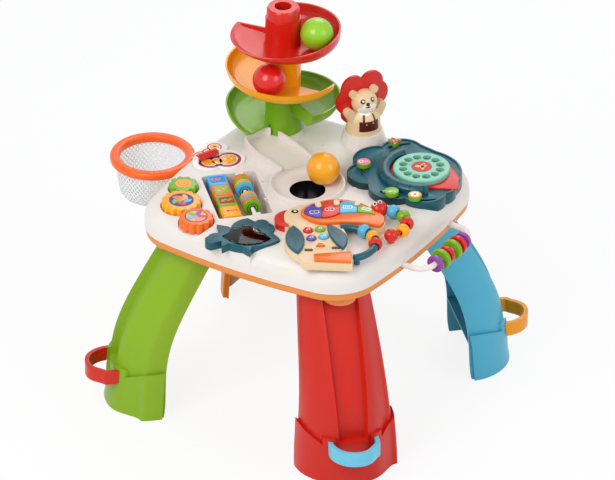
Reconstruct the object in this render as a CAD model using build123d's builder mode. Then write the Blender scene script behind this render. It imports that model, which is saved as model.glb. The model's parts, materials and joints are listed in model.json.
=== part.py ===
from build123d import *
import math
import os

os.makedirs("parts", exist_ok=True)

# All sizes in millimetres. Origin: on the floor under the middle of the ball dish, +Z up.

# ---- driving dimensions -------------------------------------------------------------
BALL_D = 50.0  # play ball: everything on the ball run follows from it

HALF_SIDE = 204.0  # middle of a side of the table top
SIDE_END = 187.2  # where two bowed sides would meet
CORNER_R = 72.0
TABLE_TOP = 330.0
SHELL_BOTTOM = 290.0
RIM_BOTTOM = 276.0
SHELL_EDGE_R = 28.0
WALL = 2.8
RIM_INSET = 2.0
GAP = 0.3  # clearance between faces that must not touch

# legs, in a frame whose +X points out along the corner's diagonal
LEG_ANGLES = {"green": -135.0, "red": -45.0, "blue": 45.0, "yellow": 135.0}
LEG_DEPTH = 70.0
LEG_WALL = 3.0
LEG_STATIONS = [  # height, distance of the open edge from the middle, half width
    (0.0, 238.5, 72.0),
    (60.0, 234.0, 69.5),
    (120.0, 224.0, 65.0),
    (180.0, 198.0, 60.5),
    (240.0, 165.0, 55.0),
    (265.0, 149.0, 52.5),
]
GROOVE_STATIONS = [  # height, depth below the crown, half width at the floor
    (66.0, 12.0, 18.0),
    (120.0, 15.0, 19.5),
    (180.0, 18.0, 21.0),
    (240.0, 20.0, 22.5),
    (265.0, 21.0, 23.5),
]
LEG_TOP = 286.0
BOOT_PROUD = 5.0
BOOT_TOP = 88.0
BOOT_DIP = 36.0
BOOT_STEP = 3.5  # the boot stops this far short of the leg's open edge

# ball tower
TOWER_X, TOWER_Y = -117.0, 118.5
TOWER_TOP = 548.0
COLUMN_R = 27.0
COLUMN_WALL = 3.0
RAMP_FALL = 4.4  # fall per radian
TROUGH_R = 84.0
TROUGH_T = 2.6
VIEW_TURN = 31.95  # the tower's angles are counted from this direction
RAMP_RED = {"end": 450.0, "sweep": 298.0, "floor": 476.0, "wall": 34.0}
RAMP_YELLOW = {"end": 333.0, "sweep": 223.0, "floor": 416.5, "wall": 19.5}
RAMP_GREEN = {"end": 586.0, "sweep": 286.0, "floor": 355.7, "wall": 22.0}

# dish and its drop hole
HOLE_R = 27.0
DISH_R = 57.0
DISH_FLOOR = 324.7
DISH_TOP = 338.0

# gears
GEARS = {  # place, teeth, pitch radius
    "yellow": (-131.1, -144.4, 14, 28.0),
    "green": (-154.6, -102.5, 10, 20.0),
    "orange": (-87.1, -172.0, 12, 24.0),
}
GEAR_BOTTOM, GEAR_TOP = 322.0, 339.0
SEAT_Z = 321.5

# tray with the picture blocks and the discs: frame turned so that u runs along the axles
TRAY_U0, TRAY_U1 = -64.0, 61.5
TRAY_V0, TRAY_V1 = -149.0, -67.0
TRAY_FLOOR = 295.0
BLOCK = 29.5
BLOCK_PLACES = {"blue": -48.0, "orange": -17.0, "green": 14.0, "yellow": 45.0}
BLOCK_V, BLOCK_Z = -127.0, 317.5
DISC_V, DISC_Z = -91.0, 322.0
DISC_R, DISC_T = 13.75, 7.3
ROD_R = 3.0

# lion
LION_X, LION_Y = -2.0, 162.0
LION_FACE = -27.0

# toucan, in a frame whose +X runs along its branch
TOUCAN_X, TOUCAN_Y, TOUCAN_TURN = 99.8, -129.7, 31.95
BODY_TOP = 343.0
BED_SHIFT = -9.5

# bird tray
DIAL_X, DIAL_Y = 131.5, 111.5
DIAL_R = 43.0
TRAY_TOP = 339.0

# rail and hoop
RAIL_X, RAIL_Y0, RAIL_Y1, RAIL_Z = 241.0, -56.0, 80.0, 288.0
RAIL_R = 4.5
HOOP_X, HOOP_Y = -270.0, -9.0

U = Plane(origin=(0, 0, 0), x_dir=(1, -1, 0), z_dir=(0, 0, 1))  # local x is u, local y is v


def toucan_plane(height, shift=0.0):
    """Level plane in the toucan's frame, slid across it by a shift."""
    turn = math.radians(TOUCAN_TURN)
    return Plane(
        origin=(TOUCAN_X - shift * math.sin(turn), TOUCAN_Y + shift * math.cos(turn), height),
        x_dir=(math.cos(turn), math.sin(turn), 0),
        z_dir=(0, 0, 1),
    )


TOUCAN = toucan_plane(0)
FISH = Plane(
    origin=(3.8, -179.0, 0),
    x_dir=(math.cos(math.radians(TOUCAN_TURN)), math.sin(math.radians(TOUCAN_TURN)), 0),
    z_dir=(0, 0, 1),
)


def finish(part, node):
    """Label a finished piece and write it."""
    part.label = node
    export_step(part, f"parts/{node}.step")


def on_circle(radius, degrees, centre=(0.0, 0.0)):
    """Point at an angle on a circle."""
    turn = math.radians(degrees)
    return (centre[0] + radius * math.cos(turn), centre[1] + radius * math.sin(turn))


def tower_angle(degrees):
    """World angle of a tower angle."""
    return degrees + VIEW_TURN


BOW_R = ((HALF_SIDE - SIDE_END) ** 2 + SIDE_END**2) / (2 * (HALF_SIDE - SIDE_END))


def outline(inset=0.0):
    """Plan of the table top: four bowed sides and round corners, drawn in by an inset."""
    centre = BOW_R - HALF_SIDE
    k = (math.sqrt(2 * (BOW_R - inset) ** 2 - centre**2) - centre) / 2
    m = HALF_SIDE - inset
    with BuildSketch() as plan:
        with BuildLine():
            ThreePointArc((k, -k), (m, 0), (k, k))
            ThreePointArc((k, k), (0, m), (-k, k))
            ThreePointArc((-k, k), (-m, 0), (-k, -k))
            ThreePointArc((-k, -k), (0, -m), (k, -k))
        make_face()
        fillet(plan.vertices(), CORNER_R - inset)
    return plan.sketch


def arc_slot(radius, start, stop, width, centre=(0.0, 0.0)):
    """Slot bent round a centre, with round ends."""
    middle = (start + stop) / 2
    with BuildSketch() as slot:
        with BuildLine() as line:
            ThreePointArc(
                on_circle(radius, start, centre),
                on_circle(radius, middle, centre),
                on_circle(radius, stop, centre),
            )
        SlotArc(line.edges()[0], width)
    return slot.sketch


# ---- legs ---------------------------------------------------------------------------
def half_oval(back, depth, width):
    """Points of half an ellipse that bulges outward from its open side."""
    turns = [math.radians(step) for step in (-90, -60, -30, 0, 30, 60, 90)]
    return [(back + depth * math.cos(turn), width * math.sin(turn)) for turn in turns]


def leg_section(back, half_width, grow, behind):
    """Half oval bulging outward, its open side carried back by a step."""
    depth, width = LEG_DEPTH + grow, half_width + grow
    with BuildSketch() as section:
        with BuildLine():
            Spline(*half_oval(back, depth, width), tangents=((1, 0), (-1, 0)))
            if behind:
                Line((back, width), (back - behind, width))
                Line((back - behind, width), (back - behind, -width))
                Line((back - behind, -width), (back, -width))
            else:
                Line((back, width), (back, -width))
        make_face()
    return section.sketch


def leg_form(grow, behind=0.0, top=LEG_TOP):
    """Solid of the leg's skin, grown outward by a distance."""
    with BuildPart() as form:
        for height, back, half_width in LEG_STATIONS:
            with BuildSketch(Plane.XY.offset(height)):
                add(leg_section(back, half_width, grow, behind))
        loft()
        with BuildSketch(Plane.XY.offset(LEG_STATIONS[-1][0])):
            add(leg_section(LEG_STATIONS[-1][1], LEG_STATIONS[-1][2], grow, behind))
        extrude(amount=top - LEG_STATIONS[-1][0])
    return form.part


def open_edge(height):
    """Distance of a leg's open edge from the middle of the table."""
    for low, high in zip(LEG_STATIONS, LEG_STATIONS[1:]):
        if low[0] <= height <= high[0]:
            share = (height - low[0]) / (high[0] - low[0])
            return low[1] + share * (high[1] - low[1])
    return LEG_STATIONS[-1][1]


def groove_section(height, depth, half_width, grow):
    """Section of the hollow down the front of a leg."""
    crown = open_edge(height) + LEG_DEPTH
    floor = crown - depth - grow
    half = half_width + grow
    with BuildSketch() as section:
        with BuildLine():
            Polyline(
                (floor, -half), (floor, half), (crown + 20, half + 14), (crown + 20, -half - 14), close=True
            )
        make_face()
    return section.sketch


def groove_form(grow):
    """Solid that cuts the hollow down the front of a leg."""
    with BuildPart() as form:
        for height, depth, half_width in GROOVE_STATIONS:
            drop = grow if height == GROOVE_STATIONS[0][0] else 0.0
            with BuildSketch(Plane.XY.offset(height - drop)):
                add(groove_section(height, depth, half_width, grow))
        loft()
        height, depth, half_width = GROOVE_STATIONS[-1]
        with BuildSketch(Plane.XY.offset(height)):
            add(groove_section(height, depth, half_width, grow))
        extrude(amount=LEG_TOP + 2 - height)
    return form.part


with BuildPart() as boot:
    add(leg_form(BOOT_PROUD, top=LEG_TOP))
    with BuildSketch(Plane.YZ.offset(150)):
        with BuildLine():
            Polyline((-90, 0), (90, 0), (90, BOOT_TOP), (0, BOOT_DIP), (-90, BOOT_TOP), close=True)
        make_face()
        for side in (-1, 1):
            with Locations((side * 36, 52)):
                Rectangle(18, 44)
    extrude(amount=200, mode=Mode.INTERSECT)
    # only a band on the outside of the leg is kept
    with BuildSketch(Plane.XZ.offset(-120)):
        with BuildLine():
            Polyline(
                (open_edge(0) + BOOT_STEP, -1),
                (open_edge(60) + BOOT_STEP, 60),
                (open_edge(120) + BOOT_STEP, 120),
                (open_edge(0) + 100, 120),
                (open_edge(0) + 100, -1),
                close=True,
            )
        make_face()
    extrude(amount=240, mode=Mode.INTERSECT)
    add(leg_form(-1.0, behind=8.0, top=LEG_TOP + 2), mode=Mode.SUBTRACT)

with BuildPart() as leg_cavity:
    add(leg_form(-LEG_WALL, behind=8.0, top=LEG_TOP + 2))
    add(groove_form(LEG_WALL), mode=Mode.SUBTRACT)
    for rib_height in (60.0, 255.0):
        with BuildSketch(Plane.XY.offset(rib_height)):
            with Locations((230, 0)):
                Rectangle(300, 200)
        extrude(amount=2.5, mode=Mode.SUBTRACT)

with BuildPart() as leg_blank:
    add(leg_form(0.0))
    add(leg_cavity.part, mode=Mode.SUBTRACT)
    add(groove_form(0.0), mode=Mode.SUBTRACT)
    add(boot.part)

for colour, angle in LEG_ANGLES.items():
    with BuildPart() as leg:
        add(leg_blank.part, rotation=(0, 0, angle))
    finish(leg.part, f"leg_{colour}")

LOOP_LOW, LOOP_HIGH = 48.0, 70.0
LOOP_OUT, LOOP_HALF = 343.0, 38.0
LOOP_BAND = 6.5
with BuildPart() as loop_cutter:
    for height, back, half_width in ((44.0, 235.4, 70.3), (74.0, 232.4, 68.9)):
        with BuildSketch(Plane.XY.offset(height)):
            add(leg_section(back, half_width, BOOT_PROUD + 3 * GAP, 0.0))
    loft()

with BuildPart() as loop_blank:
    with BuildSketch(Plane.XY.offset(LOOP_LOW)):
        with BuildLine():
            Spline(*half_oval(302, LOOP_OUT - 302, LOOP_HALF), tangents=((1, 0), (-1, 0)))
            Line((302, LOOP_HALF), (276, LOOP_HALF))
            Line((276, LOOP_HALF), (276, LOOP_HALF - LOOP_BAND))
            Line((276, LOOP_HALF - LOOP_BAND), (302, LOOP_HALF - LOOP_BAND))
            Spline(
                *half_oval(302, LOOP_OUT - 302 - LOOP_BAND, LOOP_HALF - LOOP_BAND),
                tangents=((1, 0), (-1, 0)),
            )
            Line((302, -LOOP_HALF + LOOP_BAND), (276, -LOOP_HALF + LOOP_BAND))
            Line((276, -LOOP_HALF + LOOP_BAND), (276, -LOOP_HALF))
            Line((276, -LOOP_HALF), (302, -LOOP_HALF))
        make_face()
    extrude(amount=LOOP_HIGH - LOOP_LOW)
    add(loop_cutter.part, mode=Mode.SUBTRACT)

with BuildPart() as leg_loops:
    for angle in LEG_ANGLES.values():
        add(loop_blank.part, rotation=(0, 0, angle))
finish(leg_loops.part, "leg_loops")

# ---- table shells -------------------------------------------------------------------
SOCKET_TOP = LEG_TOP + GAP
SOCKET_ROOF = SOCKET_TOP + 2.6
LEG_BACK, LEG_HALF = LEG_STATIONS[-1][1], LEG_STATIONS[-1][2]
DOOR_X, DOOR_Y = 0.0, 105.0
DOOR_L, DOOR_W = 62.0, 50.0
BATTERY_TOP = 296.0
POSTS = [(168.0, 10.0), (-168.0, 20.0), (75.0, -160.0), (-62.0, 172.0)]
SOUND_X, SOUND_Y = -95.0, 60.0
RAIL_ENDS = (RAIL_Y0, RAIL_Y1)
TUBE_OUT = HOLE_R + 2.5


def socket_plan(grow):
    """Plan of all four leg sockets."""
    with BuildSketch() as plan:
        for turn in LEG_ANGLES.values():
            with BuildSketch(mode=Mode.PRIVATE) as one:
                add(leg_section(LEG_BACK, LEG_HALF, grow, 1.0 + grow))
            add(one.sketch, rotation=turn)
    return plan.sketch


with BuildPart() as bottom_shell:
    with BuildSketch(Plane.XY.offset(RIM_BOTTOM)):
        add(outline(RIM_INSET))
    extrude(amount=SHELL_BOTTOM - 0.1 - RIM_BOTTOM)
    fillet(bottom_shell.faces().sort_by(Axis.Z)[0].edges(), 4.0)
    with BuildSketch(Plane.XY.offset(RIM_BOTTOM + 3)):
        add(outline(RIM_INSET + 3))
        add(socket_plan(3.0), mode=Mode.SUBTRACT)
    extrude(amount=SHELL_BOTTOM - RIM_BOTTOM, mode=Mode.SUBTRACT)
    with BuildSketch(Plane.XY.offset(RIM_BOTTOM - 5)):
        add(socket_plan(GAP))
    extrude(amount=SOCKET_TOP - RIM_BOTTOM + 5, mode=Mode.SUBTRACT)
    # half round bosses that close the mouths of the leg grooves
    for angle in LEG_ANGLES.values():
        boss_plane = Plane(origin=(0, 0, 262), x_dir=(*on_circle(1, angle), 0), z_dir=(0, 0, 1))
        with BuildSketch(boss_plane):
            with Locations((210, 0)):
                Circle(24)
            with Locations((185, 0)):
                Rectangle(33.6, 60, mode=Mode.SUBTRACT)
        extrude(amount=SOCKET_ROOF - 262)
    # battery box
    with BuildSketch(Plane.XY.offset(RIM_BOTTOM)):
        with Locations((DOOR_X, DOOR_Y)):
            Rectangle(DOOR_L + 5, DOOR_W + 5)
    extrude(amount=BATTERY_TOP + 2.5 - RIM_BOTTOM)
    with BuildSketch(Plane.XY.offset(RIM_BOTTOM - 1)):
        with Locations((DOOR_X, DOOR_Y)):
            Rectangle(DOOR_L, DOOR_W)
    extrude(amount=BATTERY_TOP - RIM_BOTTOM + 1, mode=Mode.SUBTRACT)
    # screw posts
    with BuildSketch(Plane.XY.offset(RIM_BOTTOM)):
        with Locations(*POSTS):
            Circle(5.5)
    extrude(amount=SHELL_BOTTOM - 0.1 - RIM_BOTTOM)
    with Locations(*[(x, y, RIM_BOTTOM) for x, y in POSTS]):
        Cylinder(3.6, 9, align=(Align.CENTER, Align.CENTER, Align.MIN), mode=Mode.SUBTRACT)
        Cylinder(1.9, 30, align=(Align.CENTER, Align.CENTER, Align.MIN), mode=Mode.SUBTRACT)
    # drop hole, speaker slots and the ends of the rail
    with Locations((0, 0, RIM_BOTTOM)):
        Cylinder(TUBE_OUT + GAP, 20, mode=Mode.SUBTRACT)
    with BuildSketch(Plane.XY.offset(RIM_BOTTOM - 1)):
        with Locations(*[(SOUND_X, SOUND_Y + step) for step in (-12, -6, 0, 6, 12)]):
            SlotOverall(30, 3)
    extrude(amount=5, mode=Mode.SUBTRACT)
    for end in RAIL_ENDS:
        with BuildSketch(Plane.YZ.offset(190)):
            with Locations((end, RAIL_Z)):
                Circle(RAIL_R + GAP)
        extrude(amount=30, mode=Mode.SUBTRACT)
finish(bottom_shell.part, "bottom_shell")

with BuildPart() as shell_body:
    with BuildSketch(Plane.XY.offset(SHELL_BOTTOM)):
        add(outline())
    extrude(amount=TABLE_TOP - SHELL_BOTTOM)
    fillet(shell_body.faces().sort_by(Axis.Z)[-1].edges(), SHELL_EDGE_R)


def lens(a, b, bulge_up, bulge_down):
    """Leaf shape between two tips with a different bulge on each side."""
    mid = ((a[0] + b[0]) / 2, (a[1] + b[1]) / 2)
    run = math.dist(a, b)
    side = (-(b[1] - a[1]) / run, (b[0] - a[0]) / run)
    with BuildSketch() as leaf:
        with BuildLine():
            ThreePointArc(a, (mid[0] + side[0] * bulge_up, mid[1] + side[1] * bulge_up), b)
            ThreePointArc(b, (mid[0] - side[0] * bulge_down, mid[1] - side[1] * bulge_down), a)
        make_face()
    return leaf.sketch


def fish_plan():
    """Outline of the fish: leaf body, forked tail and fins."""
    with BuildSketch() as plan:
        add(lens((-44, 4), (51, -5), 30, 24))
        with BuildLine():
            ThreePointArc((-34, 8), (-48, 13), (-55, 5))
            ThreePointArc((-55, 5), (-60, -6), (-50, -16))
            Line((-50, -16), (-34, -8))
            Line((-34, -8), (-34, 8))
        make_face()
        with BuildLine():
            Polyline((-38, 6), (-43, 38), (-25, 32), (-14, 20), close=True)
        make_face()
        with BuildLine():
            ThreePointArc((-22, 24), (-10, 50), (3, 56))
            Line((3, 56), (14, 46))
            ThreePointArc((14, 46), (26, 52), (34, 42))
            ThreePointArc((34, 42), (40.5, 36), (41, 21))
            Line((41, 21), (34, 8))
            Line((34, 8), (-22, 14))
            Line((-22, 14), (-22, 24))
        make_face()
        with BuildLine():
            Polyline((-36, -4), (-35, -25), (-20, -12), close=True)
        make_face()
        with BuildLine():
            Polyline((-10, -17), (7, -36), (12, -16), close=True)
        make_face()
    return plan.sketch


with BuildPart() as seats:
    # solid ground under the gears and the fish, up to the seat height
    with BuildSketch(Plane.XY.offset(305)):
        for x, y, teeth, pitch in GEARS.values():
            with Locations((x, y)):
                Circle(pitch + 3.5)
    extrude(amount=SEAT_Z - 305)
    with BuildSketch(FISH.offset(305)):
        add(fish_plan())
    extrude(amount=SEAT_Z - 305)
    with BuildSketch(Plane.XY.offset(300)):
        add(outline(0.4))
    extrude(amount=40, mode=Mode.INTERSECT)

with BuildPart() as shell_cavity:
    with BuildSketch(Plane.XY.offset(SHELL_BOTTOM - 1)):
        add(outline(WALL))
    extrude(amount=TABLE_TOP - WALL - SHELL_BOTTOM + 1)
    fillet(shell_cavity.faces().sort_by(Axis.Z)[-1].edges(), SHELL_EDGE_R - WALL)
    # walls left standing round the tray, the pockets and the screw posts
    with BuildSketch(U.offset(TRAY_FLOOR - 2.5)):
        with Locations(((TRAY_U0 + TRAY_U1) / 2, (TRAY_V0 + TRAY_V1) / 2)):
            RectangleRounded(TRAY_U1 - TRAY_U0 + 5, TRAY_V1 - TRAY_V0 + 5, 6.5)
    extrude(amount=60, mode=Mode.SUBTRACT)
    with BuildSketch(Plane.XY.offset(SEAT_Z - 2.5)):
        for x, y, teeth, pitch in GEARS.values():
            with Locations((x, y)):
                Circle(pitch + 6)
    extrude(amount=30, mode=Mode.SUBTRACT)
    with BuildSketch(FISH.offset(SEAT_Z - 2.5)):
        offset(fish_plan(), amount=2.8)
    extrude(amount=30, mode=Mode.SUBTRACT)
    with BuildSketch(Plane.XY.offset(SHELL_BOTTOM - 1)):
        with Locations(*POSTS):
            Circle(5)
    extrude(amount=60, mode=Mode.SUBTRACT)

SKIRT_R, SKIRT_TOP_R, SKIRT_TOP = 35.0, 29.5, 350.0
LION_BORE = 27.0
FLUTES = 12


def fluted(radius, depth):
    """Scalloped circle of the lion's skirt."""
    with BuildSketch() as ring:
        with BuildLine():
            for flute in range(FLUTES):
                start = 360 / FLUTES * flute
                ThreePointArc(
                    on_circle(radius - depth, start),
                    on_circle(radius, start + 180 / FLUTES),
                    on_circle(radius - depth, start + 360 / FLUTES),
                )
        make_face()
    return ring.sketch


with BuildPart() as top_shell:
    add(shell_body.part)
    add(seats.part)
    add(shell_cavity.part, mode=Mode.SUBTRACT)
    # lion's skirt and its bore
    with BuildSketch(Plane.XY.offset(TABLE_TOP - 1)):
        with Locations((LION_X, LION_Y)):
            add(fluted(SKIRT_R, 1.6))
    with BuildSketch(Plane.XY.offset(SKIRT_TOP)):
        with Locations((LION_X, LION_Y)):
            add(fluted(SKIRT_TOP_R, 0.4))
    loft()
    with Locations((LION_X, LION_Y, TABLE_TOP)):
        Cylinder(LION_BORE, 30, align=(Align.CENTER, Align.CENTER, Align.MIN), mode=Mode.SUBTRACT)
    with Locations((LION_X, LION_Y, 328)):
        Cylinder(5, 30, mode=Mode.SUBTRACT)
    # collar of the ball tower
    with Locations((TOWER_X, TOWER_Y, TABLE_TOP - 1)):
        Cylinder(31, 8, align=(Align.CENTER, Align.CENTER, Align.MIN))
    with Locations((TOWER_X, TOWER_Y, TABLE_TOP)):
        Cylinder(COLUMN_R + GAP, 10, align=(Align.CENTER, Align.CENTER, Align.MIN), mode=Mode.SUBTRACT)
    # gear pockets, their posts
    with BuildSketch(Plane.XY.offset(SEAT_Z)):
        for x, y, teeth, pitch in GEARS.values():
            with Locations((x, y)):
                Circle(pitch + 3.5)
    extrude(amount=20, mode=Mode.SUBTRACT)
    with BuildSketch(FISH.offset(SEAT_Z)):
        offset(fish_plan(), amount=GAP)
    extrude(amount=20, mode=Mode.SUBTRACT)
    with BuildSketch(Plane.XY.offset(SEAT_Z - 1)):
        with Locations(*[(x, y) for x, y, teeth, pitch in GEARS.values()]):
            Circle(4)
    extrude(amount=13.5)
    # tray recess, its brackets and the rod holes
    with BuildSketch(U.offset(TRAY_FLOOR)):
        with Locations(((TRAY_U0 + TRAY_U1) / 2, (TRAY_V0 + TRAY_V1) / 2)):
            RectangleRounded(TRAY_U1 - TRAY_U0, TRAY_V1 - TRAY_V0, 4)
    extrude(amount=60, mode=Mode.SUBTRACT)
    with BuildSketch(U.offset(TRAY_FLOOR - 1)):
        with Locations((TRAY_U0 + 3, DISC_V), (TRAY_U1 - 3, DISC_V)):
            Rectangle(6.5, 12)
    extrude(amount=TABLE_TOP + 1 - TRAY_FLOOR)
    rod_plane = Plane(origin=(0, 0, 0), x_dir=(1, 1, 0), z_dir=(1, -1, 0))
    with BuildSketch(rod_plane.offset(TRAY_U0 - 2.6)):
        with Locations((BLOCK_V, BLOCK_Z), (DISC_V, DISC_Z)):
            Circle(ROD_R + 0.05)
    extrude(amount=TRAY_U1 - TRAY_U0 + 5.2, mode=Mode.SUBTRACT)
    # opening under the dish
    with Locations((0, 0, TABLE_TOP)):
        Cylinder(54.5, 20, mode=Mode.SUBTRACT)
    # mouth for the hoop's tongue and notches for the rail
    with Locations((-HALF_SIDE, HOOP_Y, 298)):
        Box(16, 41.2, 9.0, mode=Mode.SUBTRACT)
    for end in RAIL_ENDS:
        with BuildSketch(Plane.YZ.offset(190)):
            with Locations((end, RAIL_Z)):
                Circle(RAIL_R + GAP)
        extrude(amount=30, mode=Mode.SUBTRACT)
    # pilot holes for the case screws
    with Locations(*[(x, y, SHELL_BOTTOM - 1) for x, y in POSTS]):
        Cylinder(1.4, 16, align=(Align.CENTER, Align.CENTER, Align.MIN), mode=Mode.SUBTRACT)
finish(top_shell.part, "top_shell")

# ---- inside the case ----------------------------------------------------------------
with BuildPart() as battery_door:
    with BuildSketch(Plane.XY.offset(RIM_BOTTOM + 0.2)):
        with Locations((DOOR_X, DOOR_Y)):
            RectangleRounded(DOOR_L - 0.6, DOOR_W - 0.6, 3)
    extrude(amount=2.2)
    with BuildSketch(Plane.XY.offset(RIM_BOTTOM + 0.1)):
        with Locations(*[(DOOR_X + step, DOOR_Y) for step in (-8, -4, 0, 4, 8)]):
            Rectangle(1.4, 16)
    extrude(amount=0.8, mode=Mode.SUBTRACT)
finish(battery_door.part, "battery_door")

CELL_R, CELL_L = 7.1, 50.0
with BuildPart() as batteries:
    for row in (-1, 0, 1):
        with BuildSketch(Plane.YZ.offset(DOOR_X - CELL_L / 2)):
            with Locations((DOOR_Y + row * 15.5, RIM_BOTTOM + 3.0 + CELL_R)):
                Circle(CELL_R)
        extrude(amount=CELL_L)
        with BuildSketch(Plane.YZ.offset(DOOR_X + CELL_L / 2)):
            with Locations((DOOR_Y + row * 15.5, RIM_BOTTOM + 3.0 + CELL_R)):
                Circle(2.6)
        extrude(amount=1.5)
finish(batteries.part, "batteries")

with BuildPart() as sound_module:
    with Locations((SOUND_X, SOUND_Y, RIM_BOTTOM + 3.2)):
        Cylinder(22, 4, align=(Align.CENTER, Align.CENTER, Align.MIN))
        Cylinder(11, 14, align=(Align.CENTER, Align.CENTER, Align.MIN))
    with Locations((SOUND_X, SOUND_Y, RIM_BOTTOM + 16)):
        Box(56, 44, 1.6, align=(Align.CENTER, Align.CENTER, Align.MIN))
    with Locations((SOUND_X - 12, SOUND_Y + 6, RIM_BOTTOM + 17.5)):
        Box(14, 10, 3, align=(Align.CENTER, Align.CENTER, Align.MIN))
    with Locations((SOUND_X + 14, SOUND_Y - 8, RIM_BOTTOM + 17.5)):
        Box(8, 18, 6, align=(Align.CENTER, Align.CENTER, Align.MIN))
finish(sound_module.part, "sound_module")

with BuildPart() as screws:
    with Locations(*[(x, y, RIM_BOTTOM + 6.9) for x, y in POSTS]):
        Cylinder(3.2, 2, align=(Align.CENTER, Align.CENTER, Align.MIN))
        Cylinder(1.35, 18, align=(Align.CENTER, Align.CENTER, Align.MIN))
finish(screws.part, "screws")


# ---- ball tower ---------------------------------------------------------------------
def trough_profile(wall):
    """Radial section of a trough: flat floor, round corner, upright wall."""
    rim = TROUGH_R + 0.6
    with BuildSketch(Plane.XZ) as section:
        with BuildLine():
            Line((COLUMN_R - 1.5, 0), (62, 0))
            ThreePointArc((62, 0), (77.6, 5.6), (TROUGH_R, 19))
            Line((TROUGH_R, 19), (rim, wall))
            Line((rim, wall), (rim + TROUGH_T, wall))
            Line((rim + TROUGH_T, wall), (TROUGH_R + TROUGH_T, 18.5))
            ThreePointArc((TROUGH_R + TROUGH_T, 18.5), (79.6, 3.6), (62, -TROUGH_T))
            Line((62, -TROUGH_T), (COLUMN_R - 1.5, -TROUGH_T))
            Line((COLUMN_R - 1.5, -TROUGH_T), (COLUMN_R - 1.5, 0))
        make_face()
    return section.sketch


def end_wall_profile(wall):
    """Filled radial section that closes the upper end of a trough, its edge inside the trough's skin."""
    skin = TROUGH_T / 2
    top = wall - GAP
    with BuildSketch() as section:
        with BuildLine():
            Line((COLUMN_R - 1.5, -skin), (62, -skin))
            ThreePointArc((62, -skin), (78.6, 4.6), (TROUGH_R + skin, 18.8))
            Line((TROUGH_R + skin, 18.8), (TROUGH_R + skin, top))
            Line((TROUGH_R + skin, top), (COLUMN_R - 1.5, top))
            Line((COLUMN_R - 1.5, top), (COLUMN_R - 1.5, -skin))
        make_face()
    return section.sketch


def trough(ramp):
    """Spiral trough with its low end at angle 0 and floor 0, closed at the high end."""
    drop = RAMP_FALL * math.radians(ramp["sweep"])
    top_x, top_y = on_circle(1, -ramp["sweep"])
    back = Plane(origin=(0, 0, drop), x_dir=(top_x, top_y, 0), z_dir=(top_y, -top_x, 0))
    with BuildPart() as track:
        with BuildLine() as path:
            Helix(2 * math.pi * RAMP_FALL, drop, 54, lefthand=True)
        with BuildSketch(Plane.XZ):
            add(trough_profile(ramp["wall"]))
        sweep(path=path.edges()[0], is_frenet=True)
    with BuildPart() as closed:
        add(track.part)
        with BuildSketch(back):
            add(end_wall_profile(ramp["wall"]))
        extrude(amount=-TROUGH_T)
    return closed.part


def tower_place(ramp):
    """Where a ramp's own frame stands on the tower."""
    return Location((TOWER_X, TOWER_Y, ramp["floor"]), (0, 0, tower_angle(ramp["end"])))


def column(low, high, spigot):
    """Hollow stretch of the column with a spigot for the next one."""
    inner = COLUMN_R - COLUMN_WALL
    with BuildPart() as tube:
        with BuildSketch(Plane.XY.offset(low)):
            with Locations((TOWER_X, TOWER_Y)):
                Circle(COLUMN_R)
                Circle(inner, mode=Mode.SUBTRACT)
        extrude(amount=high - low)
        if spigot:
            with BuildSketch(Plane.XY.offset(high - 3)):
                with Locations((TOWER_X, TOWER_Y)):
                    Circle(inner - GAP)
                    Circle(inner - COLUMN_WALL, mode=Mode.SUBTRACT)
            extrude(amount=11)
            with BuildSketch(Plane.XY.offset(high - 5)):
                with Locations((TOWER_X, TOWER_Y)):
                    Circle(inner + 1)
                    Circle(inner - COLUMN_WALL, mode=Mode.SUBTRACT)
            extrude(amount=5)
    return tube.part


GREEN_TOP, YELLOW_TOP = 412.0, 472.5
CAP_STEP = 529.0

with BuildPart() as red_track:
    with Locations(tower_place(RAMP_RED)):
        add(trough(RAMP_RED))
    rim_tilt = (*on_circle(-0.07, tower_angle(0)), 1)
    split(bisect_by=Plane(origin=(TOWER_X, TOWER_Y, 505.5), z_dir=rim_tilt), keep=Keep.BOTTOM)

with BuildPart() as ramp_red:
    add(column(YELLOW_TOP + 0.2, CAP_STEP, spigot=False))
    add(red_track.part)
    with BuildSketch(Plane.XZ.offset(-TOWER_Y)):
        with BuildLine():
            Polyline(
                (TOWER_X + 13, CAP_STEP - 4),
                (TOWER_X + COLUMN_R, CAP_STEP - 4),
                (TOWER_X + COLUMN_R, CAP_STEP - 1.5),
                (TOWER_X + 25.2, CAP_STEP),
                (TOWER_X + 24.6, TOWER_TOP - 4),
                (TOWER_X + 22.3, TOWER_TOP),
                (TOWER_X + 13, TOWER_TOP),
                close=True,
            )
        make_face()
    revolve(axis=Axis((TOWER_X, TOWER_Y, 0), (0, 0, 1)))
finish(ramp_red.part, "ramp_red")

with BuildPart() as ramp_yellow:
    add(column(GREEN_TOP + 0.2, YELLOW_TOP, spigot=True))
    with Locations(tower_place(RAMP_YELLOW)):
        add(trough(RAMP_YELLOW))
finish(ramp_yellow.part, "ramp_yellow")

with BuildPart() as green_track:
    with Locations(tower_place(RAMP_GREEN)):
        add(trough(RAMP_GREEN))
    # the wall falls away toward the mouth over the chute
    mouth = tower_angle(RAMP_GREEN["end"] - 22)
    mouth_x, mouth_y = on_circle(TROUGH_R, mouth, (TOWER_X, TOWER_Y))
    slope = Plane(
        origin=(mouth_x, mouth_y, 376.0),
        x_dir=(*on_circle(1, mouth), 0),
        z_dir=(*on_circle(0.5, mouth + 90), 0.866),
    )
    with BuildSketch(slope):
        Rectangle(30, 90)
    extrude(amount=40, mode=Mode.SUBTRACT)

with BuildPart() as ramp_green:
    add(column(TABLE_TOP + 0.2, GREEN_TOP, spigot=True))
    add(green_track.part)
finish(ramp_green.part, "ramp_green")

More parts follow.
